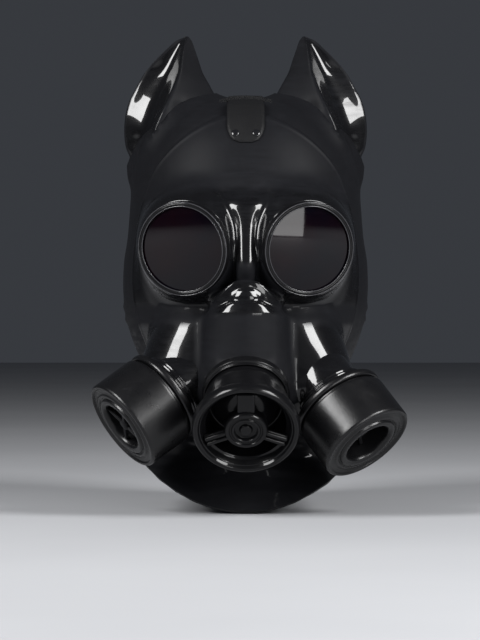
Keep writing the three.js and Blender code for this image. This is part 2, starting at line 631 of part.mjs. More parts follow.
function valveBody() {
  const top = COLLAR_LENGTH + VALVE_LENGTH;
  return turned([
    [0, GAP],
    [VALVE_ROOT_RADIUS, GAP],
    [VALVE_ROOT_RADIUS, COLLAR_LENGTH + 2],
    [VALVE_MOUTH_RADIUS - 1, top - 5],
    [VALVE_MOUTH_RADIUS, top],
    [VALVE_MOUTH_RADIUS - VALVE_WALL, top],
    [VALVE_MOUTH_RADIUS - VALVE_WALL - 1, top - VALVE_FLOOR],
    [0, top - VALVE_FLOOR],
  ]);
}

function valveCap() {
  const bottom = COLLAR_LENGTH + VALVE_LENGTH + GAP;
  const top = bottom + CAP_LENGTH;
  const inner = CAP_RADIUS - CAP_RIM;
  const face = top - 1.6;
  let cap = turned([
    [0, bottom],
    [CAP_RADIUS - 0.6, bottom],
    [CAP_RADIUS, bottom + 1.5],
    [CAP_RADIUS, top - 3],
    [CAP_RADIUS - 1.4, top],
    [inner, top],
    [inner - 1.2, face],
    [HUB_RADIUS, face],
    [HUB_RADIUS - 1, top],
    [HUB_DISH_RADIUS, top],
    [HUB_DISH_RADIUS - 1, top - HUB_DISH_DEPTH],
    [HUB_BUTTON_RADIUS, top - HUB_DISH_DEPTH],
    [0, top - 1],
  ]);
  SPOKE_ANGLES.forEach((start, k) => {
    const end = SPOKE_ANGLES[(k + 1) % SPOKE_ANGLES.length] + (k + 1 === SPOKE_ANGLES.length ? 360 : 0);
    cap = cap.subtract(pocket(radians(start), radians(end), HUB_RADIUS + 1, inner - 2, bottom - 1, top + 1));
  });
  return cap;
}

// A block between two spokes, with its sides along them: what is cut away between hub and rim.
function pocket(start, end, inner, outer, from, to) {
  const shape = new THREE.Shape();
  const half = SPOKE_WIDTH / 2;
  const steps = 8;
  for (const [radius, first, last] of [
    [outer, start, end],
    [inner, end, start],
  ]) {
    const turn = Math.asin(half / radius) * Math.sign(last - first);
    for (let i = 0; i <= steps; i++) {
      const angle = first + turn + ((last - first - 2 * turn) * i) / steps;
      const point = [radius * Math.cos(angle), radius * Math.sin(angle)];
      if (shape.curves.length || shape.currentPoint.lengthSq()) shape.lineTo(...point);
      else shape.moveTo(...point);
    }
  }
  shape.closePath();
  const geometry = new THREE.ExtrudeGeometry(shape, { depth: to - from, bevelEnabled: false });
  geometry.translate(0, 0, from);
  return solidFromTriangles(...cornersOf(geometry));
}

// Side filter, about +Z with the port's mouth at 0

function portRing() {
  const inner = PORT_RADIUS + GAP;
  const length = PORT_RING_LENGTH;
  return turned([
    [inner, -length],
    [PORT_RING_RADIUS - 1, -length],
    [PORT_RING_RADIUS, -length * 0.75],
    [PORT_RING_RADIUS, -length * 0.25],
    [PORT_RING_RADIUS - 1, 0],
    [inner, 0],
  ]);
}

function filterLid() {
  return turned([
    [0, -CONNECTOR_LENGTH],
    [PORT_BORE - GAP, -CONNECTOR_LENGTH],
    [PORT_BORE - GAP, GAP],
    [FILTER_RADIUS - 1.5, GAP],
    [FILTER_RADIUS, GAP + 1.5],
    [FILTER_RADIUS, GAP + FILTER_LID - 1],
    [FILTER_RADIUS - 0.8, GAP + FILTER_LID],
    [0, GAP + FILTER_LID],
  ]);
}

function filterDrum() {
  const bottom = FILTER_LID + 2 * GAP;
  const top = bottom + FILTER_GROOVE + DRUM_LENGTH;
  const ring = INLET_RADIUS + INLET_RING;
  return turned([
    [0, bottom],
    [FILTER_RADIUS - GROOVE_DEPTH, bottom],
    [FILTER_RADIUS - GROOVE_DEPTH, bottom + FILTER_GROOVE],
    [FILTER_RADIUS, bottom + FILTER_GROOVE + 0.6],
    [FILTER_RADIUS, top + DRUM_RIM_HEIGHT - 1.2],
    [FILTER_RADIUS - 1, top + DRUM_RIM_HEIGHT],
    [FILTER_RADIUS - DRUM_RIM, top + DRUM_RIM_HEIGHT],
    [FILTER_RADIUS - DRUM_RIM - 0.8, top],
    [ring + 1, top],
    [ring, top + INLET_RING_HEIGHT],
    [INLET_RADIUS + 1, top + INLET_RING_HEIGHT],
    [INLET_RADIUS, top + INLET_RING_HEIGHT - 1],
    [INLET_RADIUS, top - INLET_DEPTH],
    [0, top - INLET_DEPTH],
  ]);
}

// Cross bars held in the inlet, with a round hub.
function inletGrille(depth) {
  const top = FILTER_LID + 2 * GAP + FILTER_GROOVE + DRUM_LENGTH - depth;
  const length = 2 * (INLET_RADIUS - GAP);
  let grille = rod(GRILLE_HUB, top - GRILLE_THICKNESS, top);
  for (const turn of [0, Math.PI / 2]) {
    const bar = new THREE.BoxGeometry(length, GRILLE_BAR, GRILLE_THICKNESS);
    bar.translate(0, 0, top - GRILLE_THICKNESS / 2);
    bar.rotateZ(turn + Math.PI / 4);
    grille = grille.add(solidFromGeometry(bar));
  }
  return grille;
}

// Crown strap

// The hood's outer face over a point of the plan, with its normal.
function hoodTop(x, y) {
  const angle = Math.atan2(x, -y);
  const distance = Math.max(Math.hypot(x, y), 0.05);
  const at = halve(0.001, 6, (k) => {
    const p = hoodPoint(angle, k);
    return Math.hypot(p.x, p.y) > distance;
  });
  return { point: hoodPoint(angle, at), normal: hoodNormal(angle, Math.max(at, 0.05)) };
}

// Clear of the hood behind the face piece's top edge, and of the face piece ahead of it.
function strapLift(z, y) {
  const overMask = y < 0 ? THREE.MathUtils.smoothstep(-z, MASK_TOP - 7, MASK_TOP - 2) : 0;
  return GAP + overMask * (SEAT_GAP + MASK_WALL);
}

function strapSurface(x, y, height) {
  const { point, normal } = hoodTop(x, y);
  return point.addScaledVector(normal, strapLift(point.z, y) + height);
}

function crownStrap() {
  const front = -hoodFront(0, -STRAP_FRONT);
  const stations = Array.from({ length: STRAP_STEPS + 1 }, (_, k) => {
    const share = k / STRAP_STEPS;
    return { y: THREE.MathUtils.lerp(front + STRAP_CORNER, STRAP_BACK - STRAP_CORNER, share), inset: 0 };
  });
  for (const turn of [0.6, 1.1, Math.PI / 2]) {
    const [along, inset] = [STRAP_CORNER * (1 - Math.sin(turn)), STRAP_CORNER * (1 - Math.cos(turn))];
    stations.unshift({ y: front + along, inset });
    stations.push({ y: STRAP_BACK - along, inset });
  }
  const rings = stations.map(({ y, inset }) => {
    const half = STRAP_HALF_WIDTH - inset;
    const across = Array.from({ length: STRAP_COLUMNS + 1 }, (_, i) => half * ((2 * i) / STRAP_COLUMNS - 1));
    const top = across.map((x) => strapSurface(x, y, STRAP_THICKNESS));
    const under = across.map((x) => strapSurface(x, y, 0));
    return [...top, ...under.reverse()];
  });
  return loft(rings);
}

function strapStud() {
  return turned([
    [0, GAP],
    [STUD_RADIUS, GAP],
    [STUD_RADIUS, GAP + STUD_HEIGHT * 0.4],
    [STUD_RADIUS * 0.6, GAP + STUD_HEIGHT],
    [0, GAP + STUD_HEIGHT],
  ], 12);
}

function studFrame(x) {
  const y = -hoodFront(x, -STUD_DROP);
  const { normal } = hoodTop(x, y);
  const across = new THREE.Vector3(1, 0, 0).addScaledVector(normal, -normal.x).normalize();
  const up = normal.clone().cross(across);
  return new THREE.Matrix4().makeBasis(across, up, normal).setPosition(strapSurface(x, y, STRAP_THICKNESS + GAP));
}

// Ears

// One level of the right ear: a front panel, the ridge, the bowl, the outer edge and the round back.
function earRing(section) {
  const place = (x, y) =>
    new THREE.Vector3(
      THREE.MathUtils.lerp(EAR_INNER, EAR_REACH, x),
      y * EAR_DEPTH,
      THREE.MathUtils.lerp(-EAR_FOOT, EAR_TIP, section.height),
    );
  const inner = place(section.inX, section.inY);
  const ridge = place(section.ridgeX, section.ridgeY);
  const bowl = place(section.bowlX, section.bowlY);
  const outer = place(section.outX, section.outY);
  const back = place(section.backX, section.backY);
  const panel = new THREE.LineCurve3(inner, ridge);
  const hollow = new THREE.CatmullRomCurve3([ridge, bowl, outer], false, "centripetal");
  const rear = new THREE.CatmullRomCurve3([outer, back, inner], false, "centripetal");
  return [
    ...panel.getSpacedPoints(5).slice(0, -1),
    ...hollow.getSpacedPoints(7).slice(0, -1),
    ...rear.getSpacedPoints(8).slice(0, -1),
  ];
}

function rightEar() {
  const ear = loft(EAR_SECTIONS.map(earRing));
  const edge = outlineBlock(() => HEAD_HALF_WIDTH / 4, () => 2 * EAR_REACH, 1 + GAP / 50);
  return ear.subtract(hoodBlock(GAP)).subtract(edge);
}

// Materials

function finish(colour, roughness, metalness = 0) {
  return new THREE.MeshStandardMaterial({ color: colour, roughness, metalness });
}

const hoodRubber = finish(0x08080a, 0.22);
const maskRubber = finish(0x060607, 0.12);
const earRubber = finish(0x070708, 0.16);
const lensTint = finish(0x0c070a, 0.05);
const rimPlastic = finish(0x0a0a0b, 0.2);
const valvePlastic = finish(0x08090b, 0.25);
const filterPlastic = finish(0x0a0a0d, 0.3);
const grillePlastic = finish(0x101012, 0.4);
const strapRubber = finish(0x0c0c0e, 0.35);
const studPlastic = finish(0x111113, 0.35);

function piece(name, solid, material, frame) {
  const mesh = new THREE.Mesh(geometryFromSolid(solid), material);
  mesh.name = name;
  if (frame) mesh.applyMatrix4(frame);
  return mesh;
}

// Assembly

const model = new THREE.Group();
model.position.z = HOOD_WALL;

const faceOpening = outlineBlock(() => HEAD_HALF_WIDTH / 4, () => 2 * FACE_DEPTH, FACE_OPENING_SHARE);
model.add(piece("hood", hoodShell().subtract(faceOpening), hoodRubber));
model.add(piece("face_piece", facePiece(), maskRubber));

for (const [side, frame] of Object.entries(eyeFrames)) {
  model.add(piece(`${side}_lens`, lens(), lensTint, frame));
  model.add(piece(`${side}_lens_rim`, lensRim(), rimPlastic, frame));
}

model.add(piece("valve_collar", valveCollar(), valvePlastic, valveFrame));
model.add(piece("valve_body", valveBody(), valvePlastic, valveFrame));
model.add(piece("valve_cap", valveCap(), valvePlastic, valveFrame));

for (const { side, frame } of FILTERS) {
  model.add(piece(`${side}_port_ring`, portRing(), filterPlastic, frame));
  model.add(piece(`${side}_filter_lid`, filterLid(), filterPlastic, frame));
  model.add(piece(`${side}_filter_drum`, filterDrum(), filterPlastic, frame));
  model.add(piece(`${side}_inlet_grille`, inletGrille(GRILLE_DEPTH[side]), grillePlastic, frame));
}

model.add(piece("crown_strap", crownStrap(), strapRubber));
model.add(piece("left_strap_stud", strapStud(), studPlastic, studFrame(-STUD_SPREAD)));
model.add(piece("right_strap_stud", strapStud(), studPlastic, studFrame(STUD_SPREAD)));

const ear = rightEar();
model.add(piece("right_ear", ear, earRubber));
model.add(piece("left_ear", ear.mirror([1, 0, 0]), earRubber));

export default model;
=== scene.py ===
"""Looks of a hooded costume mask in gas mask style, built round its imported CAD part.

The mask is a black rubber hood with a face piece bonded over its front, pointed ears, round dark lenses,
a front valve and two side filters. Sizes are millimetres in the part's own frame: +Z up, the face looks
along -Y, and the origin is on the inner face of the crown. Left and right are as seen from the front.
"""

from __future__ import annotations

import logging
import math
from dataclasses import dataclass
from enum import Enum
from typing import Callable, Sequence

import bmesh
import bpy
import numpy as np
from mathutils import Matrix, Vector
from mathutils.bvhtree import BVHTree

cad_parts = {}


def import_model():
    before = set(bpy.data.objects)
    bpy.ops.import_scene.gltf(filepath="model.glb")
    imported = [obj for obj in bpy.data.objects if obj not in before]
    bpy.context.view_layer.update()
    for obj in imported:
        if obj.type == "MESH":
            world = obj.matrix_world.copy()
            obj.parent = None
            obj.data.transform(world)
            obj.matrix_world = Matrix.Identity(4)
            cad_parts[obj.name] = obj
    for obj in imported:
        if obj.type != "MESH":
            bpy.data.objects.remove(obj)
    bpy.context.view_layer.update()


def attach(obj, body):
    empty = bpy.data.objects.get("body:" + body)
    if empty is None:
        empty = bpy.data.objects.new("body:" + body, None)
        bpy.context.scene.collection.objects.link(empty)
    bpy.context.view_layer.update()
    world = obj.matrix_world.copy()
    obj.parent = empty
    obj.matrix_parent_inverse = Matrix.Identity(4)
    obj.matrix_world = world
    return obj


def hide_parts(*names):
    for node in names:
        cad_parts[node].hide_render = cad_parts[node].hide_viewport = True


LOG = logging.getLogger("mask")
MM = 0.001
CROWN = 2.0
Array = np.ndarray


class Side(Enum):
    """Which half of the mask a piece is on, as seen from the front."""

    LEFT = -1
    RIGHT = 1

    @property
    def word(self) -> str:
        """The side's name in lower case."""
        return self.name.lower()


class Slot(Enum):
    """The record's material slots."""

    HOOD = "hood_rubber"
    FACE = "mask_rubber"
    EAR = "ear_rubber"
    LENS = "lens_tint"
    RIM = "rim_rubber"
    VALVE = "valve_plastic"
    RING = "ring_rubber"
    FILTER = "filter_plastic"
    GRILLE = "grille_plastic"
    STRAP = "strap_rubber"
    STUD = "stud_rubber"


# Curves and distances


def blend_low(a: Array, b: Array, reach: float) -> Array:
    """The lower of two fields, rounded over `reach` where they meet."""
    h = np.maximum(reach - np.abs(a - b), 0.0) / reach
    return np.minimum(a, b) - h * h * reach * 0.25


def blend_high(a: Array, b: Array, reach: float) -> Array:
    """The higher of two fields, rounded over `reach` where they meet."""
    return -blend_low(-a, -b, reach)


def smoothstep(x: Array, low: float, high: float) -> Array:
    """A soft step from 0 at `low` to 1 at `high`."""
    t = np.clip((x - low) / (high - low), 0.0, 1.0)
    return t * t * (3.0 - 2.0 * t)


def ellipsoid_field(p: Array, centre: Array, radii: Array) -> Array:
    """About the distance from points to an ellipsoid, below zero inside it."""
    q = p - centre
    scaled = np.linalg.norm(q / radii, axis=-1)
    steep = np.linalg.norm(q / radii**2, axis=-1)
    return scaled * (scaled - 1.0) / np.maximum(steep, 1e-9)


def capsule_field(p: Array, start: Array, end: Array, radius: float) -> Array:
    """The distance from points to a rod with round ends, below zero inside it."""
    line = end - start
    share = np.clip(((p - start) @ line) / (line @ line), 0.0, 1.0)
    return np.linalg.norm(p - start - share[..., None] * line, axis=-1) - radius


def outward_frame(position: Sequence[float], turn: float, pitch: float) -> Array:
    """The frame whose third axis runs out of the face.

    Args:
        position: Its origin.
        turn: Degrees sideways, to the right above zero.
        pitch: Degrees downwards.

    Returns:
        A 4 by 4 matrix in millimetres.
    """
    t, p = math.radians(turn), math.radians(pitch)
    axis = np.array([math.sin(t) * math.cos(p), -math.cos(t) * math.cos(p), -math.sin(p)])
    across = np.cross([0.0, 0.0, 1.0], axis)
    across /= np.linalg.norm(across)
    frame = np.eye(4)
    frame[:3, 0], frame[:3, 1], frame[:3, 2], frame[:3, 3] = across, np.cross(axis, across), axis, position
    return frame


def into_frame(p: Array, frame: Array) -> Array:
    """Points in the frame's own coordinates."""
    return (p - frame[:3, 3]) @ frame[:3, :3]


def out_of_frame(p: Array, frame: Array) -> Array:
    """Points of the frame's own coordinates in the part's."""
    return p @ frame[:3, :3].T + frame[:3, 3]


# Meshes


def recalculated(mesh: bpy.types.Mesh, merge: float = 1e-7) -> bpy.types.Mesh:
    """A closed mesh with its doubles merged and its faces turned outwards."""
    work = bmesh.new()
    work.from_mesh(mesh)
    bmesh.ops.remove_doubles(work, verts=work.verts, dist=merge)
    bmesh.ops.dissolve_degenerate(work, dist=1e-9, edges=work.edges)
    bmesh.ops.recalc_face_normals(work, faces=work.faces)
    work.to_mesh(mesh)
    work.free()
    return mesh


def mesh_of(
    name: str, points: Array, faces: list, sharp: float = 42.0, tidy: bool = True
) -> bpy.types.Mesh:
    """A smooth-shaded mesh from points in millimetres.

    Args:
        name: The mesh's name.
        points: Its corners, one row each.
        faces: Corner numbers of each face.
        sharp: Edges steeper than this many degrees stay sharp.
        tidy: Whether doubles are merged and faces turned outwards.

    Returns:
        The mesh, in metres.
    """
    mesh = bpy.data.meshes.new(name)
    mesh.from_pydata((np.asarray(points) * MM).tolist(), [], faces)
    if tidy:
        recalculated(mesh)
    mesh.shade_smooth()
    mesh.set_sharp_from_angle(angle=math.radians(sharp))
    return mesh


def grid_faces(rows: int, columns: int, closed: bool) -> list:
    """The quads between rows of points, closed round each row or open."""
    r, c = np.meshgrid(np.arange(rows - 1), np.arange(columns if closed else columns - 1), indexing="ij")
    a, b = r * columns + c, r * columns + (c + 1) % columns
    return np.stack([a, b, b + columns, a + columns], axis=-1).reshape(-1, 4).tolist()


def loft(rings: Array, closed_ends: bool = True) -> tuple[Array, list]:
    """A skin over rings of points, with each end closed by a fan.

    Args:
        rings: Points of shape (rings, points round a ring, 3).
        closed_ends: Whether the first and last ring are closed.

    Returns:
        Points and faces.
    """
    rows, columns = rings.shape[:2]
    points = rings.reshape(-1, 3)
    faces = grid_faces(rows, columns, True)
    if closed_ends:
        centres = np.stack([rings[0].mean(axis=0), rings[-1].mean(axis=0)])
        first, last = len(points), len(points) + 1
        points = np.concatenate([points, centres])
        base = (rows - 1) * columns
        for i in range(columns):
            j = (i + 1) % columns
            faces.append([first, j, i])
            faces.append([last, base + i, base + j])
    return points, faces


def softened(profile: Sequence[Sequence[float]], radius: float, steps: int = 4) -> Array:
    """A closed section with each corner off its axis rounded.

    Args:
        profile: Pairs of radius and height that run round the section.
        radius: How far from each corner the rounding starts.
        steps: Points in each rounded corner.

    Returns:
        The rounded section.
    """
    corners = np.asarray(profile, float)
    count = len(corners)
    out = []
    for i, corner in enumerate(corners):
        before, after = corners[i - 1] - corner, corners[(i + 1) % count] - corner
        lengths = np.linalg.norm(before), np.linalg.norm(after)
        if corner[0] < 1e-6 or min(lengths) < 1e-6:
            out.append(corner)
            continue
        reach = min(radius, 0.42 * lengths[0], 0.42 * lengths[1])
        start, end = corner + before / lengths[0] * reach, corner + after / lengths[1] * reach
        for t in np.linspace(0.0, 1.0, steps):
            out.append((1 - t) ** 2 * start + 2 * t * (1 - t) * corner + t * t * end)
    return np.asarray(out)


def turned(profile: Sequence[Sequence[float]], sides: int = 96, soft: float = 0.6) -> tuple[Array, list]:
    """A round solid about the third axis.

    Args:
        profile: Pairs of radius and height that run round its section.
        sides: Facets round it.
        soft: Rounding of its edges.

    Returns:
        Points and faces.
    """
    section = softened(profile, soft) if soft else np.asarray(profile, float)
    angle = np.arange(sides) * 2.0 * math.pi / sides
    ring = np.stack([np.cos(angle), np.sin(angle), np.zeros(sides)], axis=-1)
    points = section[:, None, :1] * ring[None] + section[:, None, 1:] * np.array([0.0, 0.0, 1.0])
    count = len(section)
    faces = grid_faces(count, sides, True)
    for i in range(sides):
        j = (i + 1) % sides
        faces.append([(count - 1) * sides + i, (count - 1) * sides + j, j, i])
    return points.reshape(-1, 3), faces


def thickened(points: Array, faces: list, wall: Array | float) -> tuple[Array, list]:
    """An open sheet turned into a closed shell, with its wall on the inner side.

    Args:
        points: The sheet's outer points.
        faces: Its faces, turned outwards.
        wall: The wall, one value or one for each point.

    Returns:
        Points and faces of the shell.
    """
    sheet = bpy.data.meshes.new("sheet")
    sheet.from_pydata(points.tolist(), [], faces)
    normals = np.zeros(len(points) * 3, np.float32)
    sheet.vertex_normals.foreach_get("vector", normals)
    bpy.data.meshes.remove(sheet)
    inner = points - normals.reshape(-1, 3) * np.broadcast_to(np.asarray(wall, float), len(points))[:, None]
    shift = len(points)
    seen: dict[tuple[int, int], int] = {}
    for face in faces:
        for k, a in enumerate(face):
            b = face[(k + 1) % len(face)]
            seen[(a, b)] = seen.get((a, b), 0) + 1
    rim = [(a, b) for a, b in seen if (b, a) not in seen]
    shell = list(faces) + [[k + shift for k in reversed(face)] for face in faces]
    shell += [[b, a, a + shift, b + shift] for a, b in rim]
    return np.concatenate([points, inner]), shell


def satin_zone(mesh: bpy.types.Mesh, satin: Callable[[Array], Array]) -> bpy.types.Mesh:
    """Marks where a mesh's rubber is satin, as its `satin` attribute, which also lightens the colour there
    as a painted sheen.

    Args:
        mesh: The mesh, in metres.
        satin: Gives 0 for polished to 1 for satin at points in millimetres.

    Returns:
        The mesh.
    """
    spots = np.zeros(len(mesh.vertices) * 3, np.float32)
    mesh.vertices.foreach_get("co", spots)
    values = np.clip(satin(spots.reshape(-1, 3).astype(float) / MM), 0.0, 1.0).astype(np.float32)
    mesh.attributes.new("satin", "FLOAT", "POINT").data.foreach_set("value", values)
    return mesh


def used_only(points: Array, faces: list) -> tuple[Array, list]:
    """The same faces with the points that none of them uses dropped."""
    flat = np.unique(np.concatenate([np.asarray(face) for face in faces]))
    number = np.full(len(points), -1)
    number[flat] = np.arange(len(flat))
    return points[flat], [[int(number[k]) for k in face] for face in faces]


class Workshop:
    """Makes finished pieces of the object from meshes."""

    def __init__(self) -> None:
        """Starts with no piece made."""
        self.made: list[bpy.types.Object] = []

    def piece(
        self,
        name: str,
        mesh: bpy.types.Mesh,
        material: bpy.types.Material,
        slot: Slot,
        nodes: Sequence[str] = (),
    ) -> bpy.types.Object:
        """A piece at the origin that rides on the part.

        Args:
            name: The piece's name.
            mesh: Its mesh, in place.
            material: Its finish.
            slot: The record's slot it answers to.
            nodes: The part's nodes that it stands for.

        Returns:
            The piece's object.
        """
        if not mesh.materials:
            mesh.materials.append(material)
        item = bpy.data.objects.new(name, mesh)
        bpy.context.scene.collection.objects.link(item)
        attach(item, "root")
        if nodes:
            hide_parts(*nodes)
        self.made.append(item)
        LOG.info("%s: %d faces", name, len(mesh.polygons))
        return item

    def grown(
        self,
        name: str,
        base: tuple[Array, list],
        tree: bpy.types.NodeTree,
        values: dict[str, object],
        frame: Array,
    ) -> bpy.types.Mesh:
        """The mesh that a Geometry Nodes tree grows on a base.

        Args:
            name: The new mesh's name.
            base: Points and faces that the tree starts from, in metres.
            tree: The tree.
            values: Its inputs by name.
            frame: The frame, in millimetres, that the mesh is set in.

        Returns:
            A plain mesh in the part's frame.
        """
        seed = bpy.data.meshes.new(name + "_seed")
        seed.from_pydata(np.asarray(base[0]).tolist(), [], base[1])
        if "turns" in values:
            turns = seed.attributes.new("turn", "FLOAT", "POINT")
            turns.data.foreach_set("value", np.asarray(values["turns"], np.float32))
        item = bpy.data.objects.new(name + "_seed", seed)
        bpy.context.scene.collection.objects.link(item)
        modifier = item.modifiers.new("grow", "NODES")
        modifier.node_group = tree
        for socket in tree.interface.items_tree:
            if socket.item_type == "SOCKET" and socket.in_out == "INPUT" and socket.name in values:
                modifier[socket.identifier] = values[socket.name]
        depsgraph = bpy.context.evaluated_depsgraph_get()
        mesh = bpy.data.meshes.new_from_object(item.evaluated_get(depsgraph), depsgraph=depsgraph)
        bpy.data.objects.remove(item)
        metres = Matrix(frame.tolist())
        metres.translation *= MM
        mesh.transform(metres)
        mesh.name = name
        return mesh


# Shapes of the hood and the face piece


@dataclass(frozen=True)
class HoodForm:
    """The hood's outer skin: closed sections from the crown to the hem, as shares of its sizes."""

    wall: float = 2.0
    half_width: float = 85.3
    face_depth: float = 95.0
    back_depth: float = 103.0
    height: float = 281.7
    roundness: float = 2.15
    front: tuple = (
        0,
        0.009,
        0.035,
        0.094,
        0.172,
        0.254,
        0.343,
        0.407,
        0.485,
        0.556,
        0.628,
        0.698,
        0.769,
        0.838,
        0.909,
        1,
    )
    side: tuple = (
        0,
        0.009,
        0.035,
        0.094,
        0.172,
        0.254,
        0.343,
        0.407,
        0.485,
        0.556,
        0.623,
        0.681,
        0.727,
        0.767,
        0.805,
        0.838,
    )
    back: tuple = (
        0,
        0.009,
        0.035,
        0.094,
        0.172,
        0.254,
        0.343,
        0.407,
        0.485,
        0.553,
        0.615,
        0.666,
        0.706,
        0.742,
        0.777,
        0.81,
    )
    half: tuple = (
        0, 0.35, 0.61, 0.8, 0.925, 0.942, 0.965, 0.996, 1, 0.966, 0.89, 0.8, 0.735, 0.72, 0.78, 0.95
    )
    fore: tuple = (
        0, 0.42, 0.65, 0.83, 0.94, 0.99, 0.995, 0.98, 0.97, 0.965, 0.935, 0.87, 0.775, 0.71, 0.74, 0.93
    )
    aft: tuple = (0, 0.45, 0.68, 0.87, 0.97, 1, 1, 0.98, 0.94, 0.88, 0.8, 0.73, 0.68, 0.67, 0.7, 0.81)

    @property
    def last(self) -> int:
        """The number of the hem's section."""
        return len(self.half) - 1

    @staticmethod
    def column(values: Sequence[float], at: Array, mirror: float) -> Array:
        """A column of the sections, smooth between its rows.

        Args:
            values: The column.
            at: Where it is read, in rows.
            mirror: Sign of its mirror image beyond the crown.

        Returns:
            Its values there.
        """
        row = np.asarray(values, float)
        padded = np.concatenate([[mirror * row[1]], row, [2 * row[-1] - row[-2]]])
        i = np.clip(np.floor(at).astype(int), 0, len(row) - 2)
        t = at - i
        a, b, c, d = (padded[i + k] for k in range(4))
        return b + 0.5 * t * (c - a + t * (2 * a - 5 * b + 4 * c - d + t * (3 * (b - c) + d - a)))

    def point(self, angle: Array, at: Array) -> Array:
        """Points on the skin, by angle round the upright axis from the face and by section."""
        s, c = np.sin(angle), np.cos(angle)
        ahead = c > 0
        half = np.maximum(self.half_width * self.column(self.half, at, -1), 1e-6)
        depth = np.where(
            ahead,
            self.face_depth * self.column(self.fore, at, -1),
            self.back_depth * self.column(self.aft, at, -1),
        )
        depth = np.maximum(depth, 1e-6)
        side = self.column(self.side, at, 1)
        end = np.where(ahead, self.column(self.front, at, 1), self.column(self.back, at, 1))
        n = self.roundness
        reach = ((np.abs(s) / half) ** n + (np.abs(c) / depth) ** n) ** (-1 / n)
        z = CROWN - self.height * (side + (end - side) * c * c)
        return np.stack([reach * s, -reach * c, z], axis=-1)

    def normal(self, angle: Array, at: Array) -> Array:
        """The skin's outward direction."""
        step = 1e-3
        along = self.point(angle, at + step) - self.point(angle, at - step)
        round_it = self.point(angle + step, at) - self.point(angle - step, at)
        n = np.cross(along, round_it)
        return n / np.maximum(np.linalg.norm(n, axis=-1, keepdims=True), 1e-12)

    def radius(self, angle: Array, z: Array) -> Array:
        """The skin's distance from the upright axis at an angle and a height."""
        angle, z = np.broadcast_arrays(np.asarray(angle, float), np.asarray(z, float))
        low, high = np.full(angle.shape, 0.01), np.full(angle.shape, float(self.last))
        for _ in range(30):
            middle = (low + high) / 2
            below = self.point(angle, middle)[..., 2] < z
            high, low = np.where(below, middle, high), np.where(below, low, middle)
        return np.linalg.norm(self.point(angle, (low + high) / 2)[..., :2], axis=-1)

    def front_at(self, x: float, z: float) -> float:
        """How far the skin lies ahead of the axis at a sideways distance and a height."""
        low, high = 0.0, math.pi / 2
        for _ in range(40):
            middle = (low + high) / 2
            if float(self.radius(np.array(middle), np.array(z))) * math.sin(middle) > abs(x):
                high = middle
            else:
                low = middle
        return float(self.radius(np.array(low), np.array(z))) * math.cos(low)

    def top(self, x: Array, y: Array) -> tuple[Array, Array]:
        """The skin over points of the plan near the crown, with its outward direction."""
        angle = np.arctan2(x, -y)
        distance = np.maximum(np.hypot(x, y), 0.05)
        low, high = np.full(angle.shape, 0.001), np.full(angle.shape, 6.0)
        for _ in range(40):
            middle = (low + high) / 2
            out = np.linalg.norm(self.point(angle, middle)[..., :2], axis=-1) > distance
            high, low = np.where(out, middle, high), np.where(out, low, middle)
        at = (low + high) / 2
        return self.point(angle, at), self.normal(angle, np.maximum(at, 0.05))


@dataclass(frozen=True)
class FilterPlace:
    """Where one filter's port opens, in shares of the port's sizes, and how the filter leans."""

    side: Side
    out: float
    ahead: float
    below: float
    turn: float
    pitch: float


@dataclass(frozen=True)
class Fold:
    """One of the stepped forms of nose and muzzle, each further forward than the one above it."""

    top: float
    half: tuple
    reach: tuple
    slant: float
    depth: float
    square: float
    droop: float
    soft: float
    join: float
    fade: float


